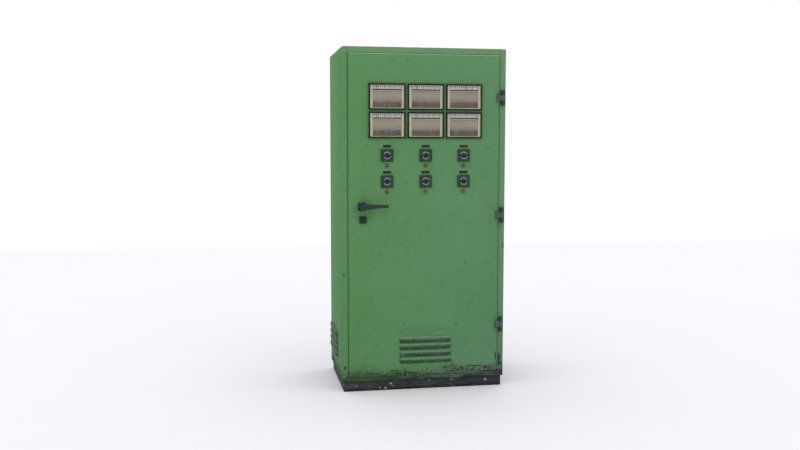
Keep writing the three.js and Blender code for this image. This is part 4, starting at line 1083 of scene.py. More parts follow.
# Painted shade: dark strips above and below the pointer's slot widen its dark line.
slot_shade_strip = block("slot_shade_strip", (meter_mid.x - CHART_HALF - 1 * MM, FACE - 0.6 * MM, SLOT_HIGH + 0.1 * MM),
                 (meter_mid.x + CHART_HALF + 1 * MM, FACE + 0.5 * MM, SLOT_HIGH + 1.3 * MM))
soften(slot_shade_strip, 0.3 * MM, 2)
SHADE_STRIP_STEP = 4.4 * MM  # from the upper strip down to the lower one
slot_lips = repeated("slot_lips", slot_shade_strip, [(0, 0, -SHADE_STRIP_STEP)])
moulding = block("slot_moulding", (meter_mid.x - CHART_HALF, FACE - 0.9 * MM, SLOT_LOW - 4.4 * MM),
                 (meter_mid.x + CHART_HALF, FACE + 0.5 * MM, SLOT_LOW - 1.6 * MM))
soften(moulding, 0.6 * MM, 3)

pane = block("meter_pane", (inner_lo.x + 0.1 * MM, meter_lo.y + 0.5 * MM, inner_lo.z + 0.1 * MM),
             (inner_hi.x - 0.1 * MM, meter_lo.y + 1.5 * MM, inner_hi.z - 0.1 * MM))
soften(pane, 0.2 * MM, 1)

# %% Terminals on the back of a meter
stud = bar("meter_stud", (meter_mid.x - 50 * MM, meter_hi.y - 3 * MM, meter_mid.z - 18 * MM), 3.2 * MM,
           6 * MM, "Y", 12)
with shaping(stud):
    pick_faces(stud, facing((0, 1, 0)))
    inset(1 * MM)
    push((0, -1.2 * MM, 0))
smooth(stud)
studs = repeated("meter_studs", stud, [(20 * MM * column, 0, 36 * MM * row) for column in range(6)
                                       for row in range(2)
                                       if column or row])
print("meter pieces modelled")

# %% [markdown]
# The pointer is a thin flag in front of the scale, cut to a point at its top, on a stem that reaches
# through the slot. Each meter's pointer has its own place at rest, and slides.

# %% Pointer
flag_lo, flag_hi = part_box("meter_pointer_1")
pointer = block("pointer", (flag_lo.x, flag_lo.y, flag_lo.z), (flag_hi.x, flag_lo.y + 0.8 * MM, flag_hi.z))
with shaping(pointer):
    split((0, 0, flag_hi.z - 5 * MM), UP_DOWN)
    pick_edges(pointer, lambda centre, along: centre.z > flag_hi.z - 0.1 * MM and abs(along.x) < 0.1)
    squeeze((0.25, 1, 1), ((flag_lo.x + flag_hi.x) / 2, 0, 0))
    split((0, 0, flag_lo.z + 2 * MM), UP_DOWN)
    pick_faces(pointer, lambda centre, normal: normal.y > 0.9 and centre.z < flag_lo.z + 2 * MM)
    push((0, flag_hi.y - flag_lo.y - 0.8 * MM, 0))
soften(pointer, 0.15 * MM, 1)

# %% Six meters from one
base = [(housing, "meter_housing", meter_black, None), (face_plate, "meter_face", cream, "cream_plastic"),
        (paper, "chart_paper", chart_paper, "cream_plastic"),
        (band, "chart_band", chart_band, "grey_plastic"),
        (pins, "band_pins", meter_black, "meter_housing"), (scale_marks, "meter_scale", ink, "pointer"),
        (scale_strip, "scale_strip", scale_white, "cream_plastic"), (slot_lips, "slot_lips", ink, "pointer"),
        (moulding, "slot_moulding", scale_white, "cream_plastic"),
        (pane, "meter_pane", glass, "grey_plastic"),
        (studs, "meter_studs", brass, "steel")]
for number in range(1, 7):
    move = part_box(f"meter_case_{number}")[0] - meter_lo
    for piece, name, finish, slot in base:
        copy = copied(piece, f"{name}_{number}", move)
        place(copy, "door", finish, [f"meter_case_{number}"] if piece is housing else ())
    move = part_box(f"meter_pointer_{number}")[0] - flag_lo
    place(copied(pointer, f"pointer_{number}_flag", move), f"pointer_{number}", pointer_black,
          stands_for=[f"meter_pointer_{number}"])
for piece in [row[0] for row in base] + [pointer]:
    bpy.data.objects.remove(piece)
print("meters placed")

# %% [markdown]
# ## Cam switches
#
# A cam switch is a square escutcheon in front of the door with a bright ring around its knob, and a stack
# of contact wafers behind the door. The knob is a round base with a bar grip across it. The escutcheon gets
# its corners rounded, then a shallow raised border. The ring is a bar whose front is inset and hollowed.

# %% Escutcheon and ring
switch_lo, switch_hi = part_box("switch_body_1")
switch_mid = (switch_lo + switch_hi) / 2
PLATE_BACK = DOOR_FACE - 0.3 * MM
PLATE_FRONT = PLATE_BACK - 5 * MM
RING_FRONT = switch_lo.y

escutcheon = block("escutcheon", (switch_lo.x, PLATE_FRONT, switch_lo.z),
                   (switch_hi.x, PLATE_BACK, switch_hi.z))
with shaping(escutcheon):
    pick_edges(escutcheon, running((0, 1, 0)))
    bpy.ops.mesh.bevel(offset=4 * MM, segments=5, affect="EDGES")
    pick_faces(escutcheon, facing((0, -1, 0)))
    inset(2.2 * MM)
    push((0, 0.9 * MM, 0))
    inset(1.2 * MM)
soften(escutcheon, 0.5 * MM, 2)

ring = bar("switch_ring", (switch_mid.x, (RING_FRONT + PLATE_FRONT) / 2 + 0.4 * MM, switch_mid.z), 19 * MM,
           PLATE_FRONT - RING_FRONT + 0.8 * MM, "Y", 48)
with shaping(ring):
    pick_faces(ring, facing((0, -1, 0)))
    inset(7 * MM)
    push((0, 3.6 * MM, 0))
soften(ring, 0.8 * MM, 3)

# %% Position marks around the ring
mark = block("position_mark", (switch_mid.x - 0.5 * MM, PLATE_FRONT + 0.5 * MM, switch_mid.z + 20.6 * MM),
             (switch_mid.x + 0.5 * MM, PLATE_FRONT + 1.2 * MM, switch_mid.z + 24.4 * MM))
marks = []
for turn in (-90, -45, 0, 45, 90):
    twin = copied(mark, "position_mark_copy", (0, 0, 0))
    only(twin)
    bpy.ops.object.mode_set(mode="EDIT")
    bpy.ops.mesh.select_all(action="SELECT")
    bpy.ops.transform.rotate(value=math.radians(turn), orient_axis="Y", center_override=tuple(switch_mid))
    bpy.ops.object.mode_set(mode="OBJECT")
    marks.append(twin)
bpy.data.objects.remove(mark)
marks = joined("position_marks", marks)

# %% Contact wafers behind the door
BEHIND_DOOR = DOOR_FACE + 2.3 * MM
wafer_side = 24 * MM
stack = block("contact_stack", (switch_mid.x - wafer_side, BEHIND_DOOR, switch_mid.z - wafer_side),
              (switch_mid.x + wafer_side, BEHIND_DOOR + 6 * MM, switch_mid.z + wafer_side))
with shaping(stack):
    pick_edges(stack, running((0, 1, 0)))
    bpy.ops.mesh.bevel(offset=5 * MM, segments=3, affect="EDGES")
    pick_faces(stack, facing((0, 1, 0)))
    for _ in range(5):
        ledge((0.88, 1, 0.88), switch_mid)
        push((0, 1 * MM, 0))
        ledge((1 / 0.88, 1, 1 / 0.88), switch_mid)
        push((0, 8 * MM, 0))
    inset(10 * MM)
    push((0, switch_hi.y - BEHIND_DOOR - 51 * MM, 0))
soften(stack, 0.6 * MM, 2)
terminal = bar("switch_terminal", (switch_mid.x - 16 * MM, BEHIND_DOOR + 11 * MM, switch_mid.z + 23.7 * MM),
               2.6 * MM,
               1 * MM, "Z", 12)
soften(terminal, 0.3 * MM, 1)
terminals = repeated("switch_terminals", terminal, [
    (32 * MM * side, 9 * MM * row, -47.4 * MM * face) for side in (0, 1) for row in range(5)
    for face in (0, 1)
    if side or row or face])

# %% Knob
knob_lo, knob_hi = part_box("switch_knob_1")
GRIP_BACK = RING_FRONT - 0.6 * MM
base_front = GRIP_BACK - 4 * MM
knob_base = bar("knob_base", (switch_mid.x, (base_front + PLATE_FRONT - 0.3 * MM) / 2, switch_mid.z),
                10.8 * MM,
                PLATE_FRONT - 0.3 * MM - base_front, "Y", 40)
with shaping(knob_base):
    pick_edges(knob_base, lambda centre, along: centre.y < base_front + 0.1 * MM)
    bpy.ops.mesh.bevel(offset=2 * MM, segments=4, affect="EDGES")
grip = block("knob_grip", (knob_lo.x, knob_lo.y, switch_mid.z - 5 * MM),
             (knob_hi.x, GRIP_BACK, switch_mid.z + 5 * MM))
with shaping(grip):
    pick_edges(grip, running((0, 1, 0)))
    bpy.ops.mesh.bevel(offset=3.6 * MM, segments=5, affect="EDGES")
    pick_faces(grip, facing((0, -1, 0)))
    squeeze((0.93, 1, 0.7), switch_mid)
    inset(1.6 * MM)
    push((0, 0.7 * MM, 0))
soften(grip, 0.8 * MM, 3)
shaft = bar("knob_shaft", (switch_mid.x, (PLATE_FRONT + knob_hi.y) / 2, switch_mid.z), 3 * MM,
            knob_hi.y - PLATE_FRONT, "Y", 16)
knob = joined("knob", [smooth(knob_base), grip, smooth(shaft)])
print("switch pieces modelled")

# %% [markdown]
# ## Pilot lamps and label plates
#
# A pilot lamp is a screwed bezel with a domed lens in front of the door, and a threaded socket with a nut
# behind it. The lens is half a sphere, flattened a little. A small dark label plate with two rivets sits
# above each switch.

# %% Lamp
lamp_lo, lamp_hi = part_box("lamp_1")
lamp_mid = (lamp_lo + lamp_hi) / 2
bezel = bar("lamp_bezel", (lamp_mid.x, PLATE_BACK - 2 * MM, lamp_mid.z), 10 * MM, 4 * MM, "Y", 32)
with shaping(bezel):
    pick_faces(bezel, facing((0, -1, 0)))
    inset(2.2 * MM)
    push((0, 1 * MM, 0))
soften(bezel, 0.7 * MM, 3)

bpy.ops.object.select_all(action="DESELECT")
bpy.ops.mesh.primitive_uv_sphere_add(segments=32, ring_count=16, radius=7.7 * MM,
                                     rotation=(math.pi / 2, 0, 0),
                                     location=(lamp_mid.x, PLATE_BACK - 3 * MM, lamp_mid.z))
lens = named("lamp_lens")
lens_front = PLATE_BACK - 3 * MM
with shaping(lens):
    bpy.ops.mesh.select_all(action="SELECT")
    squeeze((1, (lens_front - lamp_lo.y) / (7.7 * MM), 1), (0, lens_front, 0))
    split((0, lens_front + 0.5 * MM, 0), FRONT_BACK, clear_outer=True, fill=True)
smooth(lens)

socket = bar("lamp_socket", (lamp_mid.x, DOOR_FACE + 4.5 * MM, lamp_mid.z), 8 * MM, 9 * MM, "Y", 24)
with shaping(socket):
    pick_faces(socket, facing((0, 1, 0)))
    for _ in range(4):
        ledge((0.88, 1, 0.88), lamp_mid)
        push((0, 1.2 * MM, 0))
        ledge((1 / 0.88, 1, 1 / 0.88), lamp_mid)
        push((0, 1.6 * MM, 0))
    ledge((0.8, 1, 0.8), lamp_mid)
    push((0, lamp_hi.y - DOOR_FACE - 20.2 * MM, 0))
smooth(socket)
nut = bar("lamp_nut", (lamp_mid.x, DOOR_FACE + 4.3 * MM, lamp_mid.z), 11 * MM, 3.6 * MM, "Y", 6)
soften(nut, 0.5 * MM, 2)
lamp_socket = joined("lamp_socket", [socket, nut])

# %% Label plate, placed from its switch
LABEL_ABOVE = 44 * MM
label = block("label_plate", (switch_mid.x - 19.5 * MM, PLATE_BACK - 1.2 * MM,
                              switch_mid.z + LABEL_ABOVE - 6 * MM),
              (switch_mid.x + 19.5 * MM, PLATE_BACK + 0.2 * MM, switch_mid.z + LABEL_ABOVE + 6 * MM))
with shaping(label):
    pick_edges(label, running((0, 1, 0)))
    bpy.ops.mesh.bevel(offset=1.2 * MM, segments=3, affect="EDGES")
    pick_faces(label, facing((0, -1, 0)))
    inset(1.1 * MM)
    push((0, 0.35 * MM, 0))
soften(label, 0.25 * MM, 2)
rivet = bar("label_rivet", (switch_mid.x - 15.5 * MM, PLATE_BACK - 1.1 * MM, switch_mid.z + LABEL_ABOVE),
            1.5 * MM,
            1.1 * MM, "Y", 12)
soften(rivet, 0.4 * MM, 2)
rivets = repeated("label_rivets", rivet, [(31 * MM, 0, 0)])

# %% Six of each
base = [(escutcheon, "escutcheon", switch_plastic, "switch_plastic"),
        (ring, "switch_ring", ring_metal, "steel"),
        (marks, "position_marks", hinge_link, "hinge_iron"),
        (stack, "contact_stack", black_plastic, "black_plastic"),
        (terminals, "switch_terminals", brass, "steel"), (label, "label_plate", label_green, "meter_housing"),
        (rivets, "label_rivets", label_green, "meter_housing")]
lamp_base = [(lens, "lamp_lens", amber_lens, "red_lens"), (bezel, "lamp_bezel", lamp_brass, "steel"),
             (lamp_socket, "lamp_socket", black_plastic, "black_plastic")]
for number in range(1, 7):
    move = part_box(f"switch_body_{number}")[0] - switch_lo
    for piece, name, finish, slot in base:
        place(copied(piece, f"{name}_{number}", move), "door", finish,
              [f"switch_body_{number}"] if piece is escutcheon else ())
    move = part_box(f"switch_knob_{number}")[0] - knob_lo
    place(copied(knob, f"knob_{number}_grip", move), f"knob_{number}", black_plastic,
          stands_for=[f"switch_knob_{number}"])
    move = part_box(f"lamp_{number}")[0] - lamp_lo
    for piece, name, finish, slot in lamp_base:
        place(copied(piece, f"{name}_{number}", move), "door", finish,
              [f"lamp_{number}"] if piece is lens else ())
for piece in [row[0] for row in base + lamp_base] + [knob]:
    bpy.data.objects.remove(piece)
print("switches, knobs, labels and lamps placed")

# %% [markdown]
# ## The lever latch
#
# The lever is cast: a round hub that runs into a flat arm, with soft fillets everywhere and a stubby tip.
# It is roughed out as a bar and a block, which are fused by a fine voxel remesh and then relaxed, as a
# casting's sand mould rounds it. It turns a spindle with a pinion, which moves one rod up and the other
# down behind the door.

# %% Boss
boss_lo, boss_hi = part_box("handle_boss")
boss_mid = (boss_lo + boss_hi) / 2
boss = block("handle_boss_plate", boss_lo, (boss_hi.x, PLATE_BACK, boss_hi.z))
with shaping(boss):
    pick_edges(boss, running((0, 1, 0)))
    bpy.ops.mesh.bevel(offset=3 * MM, segments=4, affect="EDGES")
    pick_faces(boss, facing((0, -1, 0)))
    squeeze((0.93, 1, 0.93), boss_mid)
soften(boss, 1.2 * MM, 3)
place(boss, "door", black_metal, stands_for=["handle_boss"])

# %% Lever
lever_lo, lever_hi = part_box("handle_lever")
hub = Vector((boss_mid.x, 0, boss_mid.z))
arm_back = lever_lo.y + 14 * MM
hub_back = boss_lo.y - 0.3 * MM
skin = 0.4 * MM

hub_bar = bar("lever_hub", (hub.x, (lever_lo.y + hub_back) / 2, hub.z), 16 * MM - skin,
              hub_back - lever_lo.y - 2 * skin,
              "Y", 48)
with shaping(hub_bar):
    pick_faces(hub_bar, facing((0, -1, 0)))
    inset(3 * MM)
    squeeze((0.96, 1, 0.96), hub)
arm = block("lever_arm", (hub.x, lever_lo.y + skin, hub.z - 12 * MM),
            (lever_hi.x - 12 * MM, arm_back, hub.z + 14 * MM))
with shaping(arm):
    pick_faces(arm, facing((1, 0, 0)))
    squeeze((1, 1, 12.6 / 26), (0, 0, hub.z + 1 * MM))
    bpy.ops.transform.translate(value=(0, 0, 2 * MM))
    push((12 * MM - skin, 0, 0))
    pick_faces(arm, lambda centre, normal: normal.y < -0.9)
    inset(3 * MM)
    bpy.ops.transform.translate(value=(0, 0.8 * MM, 0))
lever = joined("lever_casting", [hub_bar, arm])
apply(lever, "REMESH", mode="VOXEL", voxel_size=0.7 * MM)
apply(lever, "SMOOTH", factor=0.5, iterations=6)
smooth(lever, 80)
place(lever, "lever", black_metal, stands_for=["handle_lever"])

cap = bar("lever_cap", (hub.x, lever_lo.y + 1.1 * MM, hub.z), 5 * MM, 1.8 * MM, "Y", 24)
soften(cap, 0.6 * MM, 2)
place(cap, "lever", black_metal)

# %% The spindle with its pinion, and the rods
behind = Vector((0, boss_lo.y + 1 * MM, 0))
pinion = sheet_copy("latch_pinion", "handle_lever", 0.25 * MM, 1,
                    shape=lambda piece: split(behind, (0, -1, 0), clear_outer=True, fill=True))
place(pinion, "lever", steel)
for rod in ("upper_rod", "lower_rod"):
    place(sheet_copy(rod + "_bar", rod, 0.3 * MM, 1), rod, steel, stands_for=[rod])
print("latch made; lever has", len(lever.data.polygons), "faces")

# %% [markdown]
# ## The lock
#
# A square escutcheon covers the door's hole. The barrel ends in a round plug with a keyway, and turns a cam
# behind the door. The plug's front is inset once, and the keyway is a slot between two pairs of cuts,
# pushed in.

# %% Lock
lock_lo, lock_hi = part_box("lock_body")
lock_mid = (lock_lo + lock_hi) / 2
cover = block("lock_cover", (lock_lo.x, PLATE_BACK - 6 * MM, lock_lo.z), (lock_hi.x, PLATE_BACK, lock_hi.z))
with shaping(cover):
    pick_edges(cover, running((0, 1, 0)))
    bpy.ops.mesh.bevel(offset=2.5 * MM, segments=4, affect="EDGES")
    pick_faces(cover, facing((0, -1, 0)))
    squeeze((0.94, 1, 0.94), lock_mid)
soften(cover, 0.8 * MM, 3)
place(cover, "door", lock_black, stands_for=["lock_body"])

plug_front, cam_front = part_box("lock_cam")[0].y + 0.3 * MM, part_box("lock_cam")[1].y - 3 * MM
plug = bar("lock_plug", (lock_mid.x, (cam_front + plug_front) / 2, lock_mid.z), 6.2 * MM,
           cam_front - plug_front, "Y", 32)
with shaping(plug):
    pick_faces(plug, facing((0, -1, 0)))
    inset(1.2 * MM)
    push((0, 0.5 * MM, 0))
    for side in (-1, 1):
        split((lock_mid.x + side * 1 * MM, 0, 0), LEFT_RIGHT)
        split((0, 0, lock_mid.z + side * 3.4 * MM), UP_DOWN)
    pick_faces(plug, lambda centre, normal: normal.y < -0.9 and abs(centre.x - lock_mid.x) < 0.9 * MM
               and abs(centre.z - lock_mid.z) < 3.3 * MM)
    push((0, 4 * MM, 0))
smooth(plug)
collar = bar("lock_collar", (lock_mid.x, PLATE_BACK - 6 * MM, lock_mid.z), 9.6 * MM, 1.6 * MM, "Y", 40)
with shaping(collar):
    pick_faces(collar, facing((0, -1, 0)))
    inset(3 * MM)
    push((0, 0.5 * MM, 0))
soften(collar, 0.4 * MM, 2)
barrel = bar("lock_barrel", (lock_mid.x, (DOOR_FACE + cam_front) / 2 - 0.2 * MM, lock_mid.z), 10 * MM,
             cam_front - DOOR_FACE - 0.6 * MM, "Y", 32)
lock_nut = bar("lock_nut", (lock_mid.x, DOOR_FACE + 5 * MM, lock_mid.z), 14 * MM, 5 * MM, "Y", 6)
soften(lock_nut, 0.6 * MM, 2)
place(joined("lock_barrel", [smooth(barrel), lock_nut]), "door", ring_metal)
place(collar, "door", lock_black)
place(plug, "lock_cam", lock_black)
cam = sheet_copy("lock_cam_arm", "lock_cam", 0.4 * MM,
                 shape=lambda piece: split((0, cam_front - 0.5 * MM, 0), (0, -1, 0), clear_outer=True,
                                           fill=True))
place(cam, "lock_cam", steel, stands_for=["lock_cam"])
print("lock made")

# %% [markdown]
# ## Hinges
#
# A three-knuckle hinge: the frame's leaf carries the outer two knuckles and the pin, and the door's leaf
# carries the middle one on a short arm. The door's leaf is held by two screws.

# %% Frame leaf
frame_lo, frame_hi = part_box("hinge_frame_leaf_1")
door_leaf_lo, door_leaf_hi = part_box("hinge_door_leaf_1")
hinge_mid = (frame_lo + frame_hi) / 2
axis = Vector(next(joint for joint in frame["joints"] if joint["name"] == "door_hinge")["pos_m"])
KNUCKLE = 7 * MM
middle_half = 13.5 * MM
gap = 0.3 * MM
leaf_front = FRONT - 3.3 * MM

leaf = block("frame_leaf", (axis.x - 12 * MM, leaf_front, frame_lo.z),
             (axis.x + 13 * MM, FRONT - 0.3 * MM, frame_hi.z))
with shaping(leaf):
    pick_edges(leaf, running((0, 1, 0)))
    bpy.ops.mesh.bevel(offset=2 * MM, segments=3, affect="EDGES")
soften(leaf, 0.5 * MM, 2)
knuckles = []
for low, high in ((frame_lo.z, hinge_mid.z - middle_half - gap),
                  (hinge_mid.z + middle_half + gap, frame_hi.z)):
    knuckle = bar("frame_knuckle", (axis.x, axis.y, (low + high) / 2), KNUCKLE, high - low, "Z", 32)
    soften(knuckle, 1 * MM, 3)
    knuckles.append(knuckle)
pin = bar("hinge_pin", (axis.x, axis.y, hinge_mid.z), 3 * MM, 2 * middle_half + 4 * MM, "Z", 20)
frame_leaf = joined("frame_leaf", [leaf, *knuckles, smooth(pin)])

# %% Door leaf
wing = block("door_leaf", (door_leaf_lo.x, DOOR_FACE - 3.3 * MM, door_leaf_lo.z),
             (door_leaf_lo.x + 14 * MM, DOOR_FACE - 0.3 * MM, door_leaf_hi.z))
with shaping(wing):
    pick_edges(wing, running((0, 1, 0)))
    bpy.ops.mesh.bevel(offset=2 * MM, segments=3, affect="EDGES")
soften(wing, 0.5 * MM, 2)
reach = block("door_arm", (door_leaf_lo.x + 7 * MM, axis.y + 1 * MM, hinge_mid.z - middle_half),
              (axis.x, leaf_front - 1 * MM, hinge_mid.z + middle_half))
soften(reach, 0.6 * MM, 2)
middle_knuckle = bar("door_knuckle", (axis.x, axis.y, hinge_mid.z), KNUCKLE, 2 * middle_half, "Z", 32)
soften(middle_knuckle, 0.8 * MM, 3)
door_leaf = joined("door_leaf", [wing, reach, middle_knuckle])

# %% Three hinges from one
for number in range(1, 4):
    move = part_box(f"hinge_frame_leaf_{number}")[0] - frame_lo
    place(copied(frame_leaf, f"frame_leaf_{number}", move), "cabinet", hinge_iron,
          stands_for=[f"hinge_frame_leaf_{number}"])
    place(copied(door_leaf, f"door_leaf_{number}", move), "door", hinge_link,
          stands_for=[f"hinge_door_leaf_{number}"])
    spots = [Vector((door_leaf_lo.x + 5 * MM, DOOR_FACE - 3.1 * MM, hinge_mid.z + move.z + z * MM))
             for z in (-15, 15)]
    screws(f"door_leaf_screws_{number}", spots, FRONT_FACING, "door", hinge_link, 2.6 * MM,
           0.9 * MM)
for piece in (frame_leaf, door_leaf):
    bpy.data.objects.remove(piece)
print("hinges placed")

# %% [markdown]
# ## Behind the door
#
# The door opens on a zinc-plated mounting plate that stands off the rear panel. It carries a breaker, a
# wiring duct, a row of terminals on a rail, and a small control transformer. They are plain parts, but each
# is made of what the real one is made of: a moulded case with a raised nose, clamps with brass screws, a
# stack of thin laminations.

# %% Breaker case
case_lo, case_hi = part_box("breaker")
case_mid = (case_lo + case_hi) / 2
NOSE = 8 * MM
case = block("breaker_case", (case_lo.x, case_lo.y + NOSE, case_lo.z), case_hi)
with shaping(case):
    for z in (case_mid.z - 41 * MM, case_mid.z + 41 * MM):
        split((0, 0, z), UP_DOWN)
    for x in (case_mid.x - 9 * MM, case_mid.x + 9 * MM):
        split((x, 0, 0), LEFT_RIGHT)
    for z in (case_mid.z - 16 * MM, case_mid.z + 16 * MM):
        split((0, 0, z), UP_DOWN)
    pick_faces(case, lambda centre, normal: normal.y < -0.9 and abs(centre.z - case_mid.z) < 41 * MM)
    push((0, -NOSE, 0))
    pick_faces(case, lambda centre, normal: normal.y < -0.9 and abs(centre.z - case_mid.z) < 16 * MM
               and abs(centre.x - case_mid.x) < 9 * MM)
    inset(1.5 * MM)
    push((0, 22 * MM, 0))
    pick_faces(case, lambda centre, normal: normal.y < -0.9 and abs(centre.z - case_mid.z) > 50 * MM)
    bpy.ops.mesh.inset(thickness=3 * MM, depth=0, use_individual=False)
soften(case, 1.2 * MM, 3)
place(case, "cabinet", black_plastic, stands_for=["breaker"])
wells = [Vector((case_mid.x + column * 30 * MM, case_lo.y + NOSE - 0.2 * MM, case_mid.z + end * 62 * MM))
         for column in (-1, 0, 1) for end in (-1, 1)]
screws("breaker_screws", wells, FRONT_FACING, "cabinet", brass, 6 * MM, 3 * MM)
plate_label = block("breaker_label", (case_mid.x - 36 * MM, case_lo.y - 0.1 * MM, case_mid.z + 22 * MM),
                    (case_mid.x + 36 * MM, case_lo.y + 1 * MM, case_mid.z + 36 * MM))
soften(plate_label, 0.1 * MM, 1)
place(plate_label, "cabinet", cream)
toggle = sheet_copy("toggle_handle", "breaker_toggle", 1.2 * MM, 3)
place(toggle, "breaker_toggle", cream_plastic, stands_for=["breaker_toggle"])

# %% Terminal row
row_lo, row_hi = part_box("terminal_row")
TERMINALS = 20
pitch = (row_hi.x - row_lo.x) / TERMINALS
clamp = block("terminal", (row_lo.x + 0.5 * MM, row_lo.y + 8 * MM, row_lo.z),
              (row_lo.x + pitch - 0.5 * MM, row_hi.y, row_hi.z))
with shaping(clamp):
    for z in (row_lo.z + 13 * MM, row_hi.z - 13 * MM):
        split((0, 0, z), UP_DOWN)
    pick_faces(clamp, lambda centre, normal: normal.y < -0.9 and row_lo.z + 13 * MM < centre.z < row_hi.z
               - 13 * MM)
    push((0, -8 * MM, 0))
    pick_faces(clamp, lambda centre, normal: normal.y < -0.9 and centre.z > row_hi.z - 13 * MM)
    bpy.ops.mesh.inset(thickness=2 * MM, depth=0)
    push((0, 5 * MM, 0))
    pick_faces(clamp, lambda centre, normal: normal.y < -0.9 and centre.z < row_lo.z + 13 * MM)
    bpy.ops.mesh.inset(thickness=2 * MM, depth=0)
    push((0, 5 * MM, 0))
soften(clamp, 0.5 * MM, 1)
row = repeated("terminal_blocks", clamp, [(pitch * i, 0, 0) for i in range(1, TERMINALS)])
place(row, "cabinet", grey_plastic, stands_for=["terminal_row"])
row_screws = [Vector((row_lo.x + pitch * (i + 0.5), row_lo.y + 13.1 * MM, z)) for i in range(TERMINALS)
              for z in (row_lo.z + 6.5 * MM, row_hi.z - 6.5 * MM)]
screws("terminal_screws", row_screws, FRONT_FACING, "cabinet", brass, 3.6 * MM, 2 * MM)
tag = block("terminal_tag", (row_lo.x + 3 * MM, row_lo.y - 0.2 * MM, row_lo.z + 16 * MM),
            (row_lo.x + pitch - 3 * MM, row_lo.y + 1 * MM, row_hi.z - 16 * MM))
soften(tag, 0.2 * MM, 1)
place(repeated("terminal_tags", tag, [(pitch * i, 0, 0) for i in range(1, TERMINALS)]), "cabinet", cream)

# %% Transformer: a core of thin laminations, a taped coil on a bobbin, two feet
core_lo, core_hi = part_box("transformer")
core_mid = (core_lo + core_hi) / 2
CORE_HALF, CORE_RISE = 65 * MM, 55 * MM
core_front, core_back = core_hi.y - 76.7 * MM, core_hi.y - 21.7 * MM
sheets = 24
thick = (core_back - core_front) / sheets
sheet = block("lamination", (core_mid.x - CORE_HALF, core_front, core_mid.z - CORE_RISE),
              (core_mid.x + CORE_HALF, core_front + thick * 0.82, core_mid.z + CORE_RISE))
core = repeated("transformer_core", sheet, [(0, thick * i, 0) for i in range(1, sheets)])
feet = []
for side in (-1, 1):
    z = core_mid.z + side * (CORE_RISE + 1.4 * MM)
    foot = block("core_foot", (core_mid.x - 60 * MM, core_front + 4 * MM, z - 1.4 * MM),
                 (core_mid.x + 60 * MM, core_hi.y, z + 1.4 * MM))
    soften(foot, 0.6 * MM, 2)
    feet.append(foot)
place(joined("transformer_core", [core, *feet]), "cabinet", laminations, stands_for=["transformer"])

coil_front = core_lo.y
coil = block("transformer_coil", (core_mid.x - 40 * MM, coil_front + 3 * MM, core_mid.z - 31 * MM),
             (core_mid.x + 40 * MM, core_front + 1 * MM, core_mid.z + 31 * MM))
with shaping(coil):
    pick_edges(coil, lambda centre, along: abs(along.z) > 0.9 and centre.y < core_front - MM)
    bpy.ops.mesh.bevel(offset=11 * MM, segments=6, affect="EDGES")
soften(coil, 0.8 * MM, 2)
place(coil, "cabinet", coil_tape)
flanges = []
for side in (-1, 1):
    z = core_mid.z + side * 32 * MM
    flange = block("bobbin_flange", (core_mid.x - 42 * MM, coil_front, z - 1 * MM),
                   (core_mid.x + 42 * MM, core_front + 1 * MM, z + 1 * MM))
    with shaping(flange):
        pick_edges(flange, lambda centre, along: abs(along.z) > 0.9 and centre.y < core_front - MM)
        bpy.ops.mesh.bevel(offset=8 * MM, segments=5, affect="EDGES")
    flanges.append(soften(flange, 0.4 * MM, 1))
place(joined("coil_bobbin", flanges), "cabinet", black_plastic)
lugs = [Vector((core_mid.x + x * MM, coil_front + 3.2 * MM, core_mid.z + z * MM)) for x in (-24, -8, 8, 24)
        for z in (-22, 22)]
screws("coil_terminals", lugs, FRONT_FACING, "cabinet", brass, 3 * MM, 3 * MM)

# %% Bolts that hold the mounting plate to its stand-offs
plate_lo, plate_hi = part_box("mounting_plate")
corners = [Vector((side * (plate_hi.x - 20 * MM), plate_lo.y + 0.1 * MM, z)) for side in (-1, 1)
           for z in (plate_lo.z + 20 * MM, plate_hi.z - 20 * MM)]
screws("plate_bolts", corners, FRONT_FACING, "cabinet", radius=7 * MM, height=4 * MM)
print("inside fitted")

# %% [markdown]
# ## Floor, light and camera
#
# The cabinet stands on a plain pale floor under an even white sky, with one very wide soft light overhead,
# so that its colours read true and its contact shadow stays gentle. The floor ends a few metres behind it.

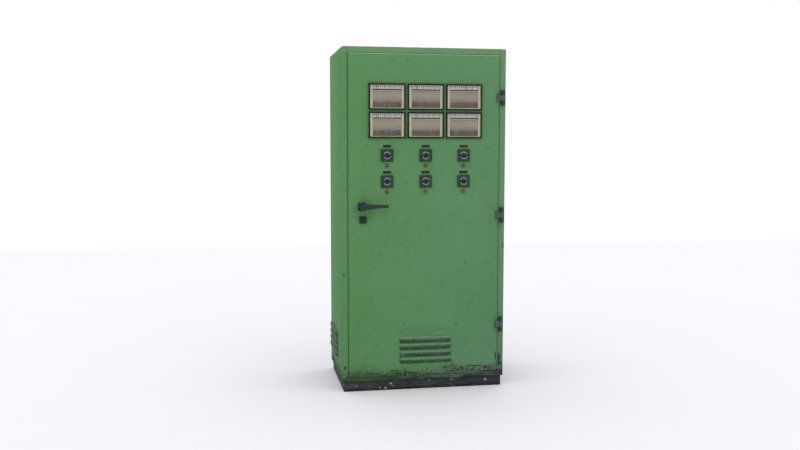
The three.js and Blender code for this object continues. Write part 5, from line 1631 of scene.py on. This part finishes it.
# %% Floor
FLOOR_WIDTH, FLOOR_DEPTH = 40, 24
FAR_LEFT, FAR_RIGHT = 6.66, 5.40  # where the floor ends behind the cabinet, at its two far corners
floor_finish, tree = material("studio_floor")
principled(tree, Base_Color=use_group(tree, mottle, Place=place_of(tree), Shade=(0.815, 0.80, 0.85, 1),
                                      Scale=0.3,
                                      **{"Other shade": (0.825, 0.81, 0.86, 1)})["Color"], Roughness=0.9)
tree.nodes["Principled BSDF"].inputs["Specular IOR Level"].default_value = 0.1
bpy.ops.object.select_all(action="DESELECT")
bpy.ops.mesh.primitive_plane_add(size=1, location=(0, 0, cad_lo.z))
studio_floor = bpy.context.object
studio_floor.name = "studio_floor"
studio_floor.scale = (FLOOR_WIDTH, FLOOR_DEPTH, 1)
bpy.ops.object.transform_apply(location=True, rotation=True, scale=True)
for corner in studio_floor.data.vertices:
    if corner.co.y > 0:
        corner.co.y = FAR_LEFT if corner.co.x < 0 else FAR_RIGHT
studio_floor.data.materials.append(floor_finish)

# %% Sky and soft light
sky = bpy.data.worlds.new("white_sky")
bpy.context.scene.world = sky
sky.use_nodes = True
sky.node_tree.nodes["Background"].inputs["Color"].default_value = (1, 1, 1, 1)
sky.node_tree.nodes["Background"].inputs["Strength"].default_value = 1.0
bpy.ops.object.select_all(action="DESELECT")
SUN_STRENGTH, SUN_SPREAD, SUN_TILT, SUN_LEAN = 0.6, 110, 12, -6  # watts per square metre, then degrees
bpy.ops.object.light_add(type="SUN", location=(0, -1, 4),
                         rotation=(math.radians(SUN_TILT), math.radians(SUN_LEAN), 0))
soft_light = bpy.context.object
soft_light.name = "soft_light"
soft_light.data.energy, soft_light.data.angle = SUN_STRENGTH, math.radians(SUN_SPREAD)

# %% Camera, a little to the left of the cabinet and below its top
FOCAL_LENGTH, SENSOR_WIDTH = 41.0, 36.0
EYE = (-0.8936, -4.5114, 1.1964)
HEADING, DIP, ROLL = 10.248, 5.107, 0.065  # degrees
bpy.ops.object.camera_add()
camera = bpy.context.object
camera.name = "camera"
camera.data.lens, camera.data.sensor_width = FOCAL_LENGTH, SENSOR_WIDTH
camera.location = EYE
heading, dip, roll = math.radians(HEADING), math.radians(DIP), math.radians(ROLL)
camera.rotation_euler = (Matrix.Rotation(-heading, 3, "Z") @ Matrix.Rotation(math.pi / 2 - dip, 3, "X")
                         @ Matrix.Rotation(roll, 3, "Z")).to_euler()
scene = bpy.context.scene
scene.camera = camera
scene.view_settings.view_transform = "Standard"
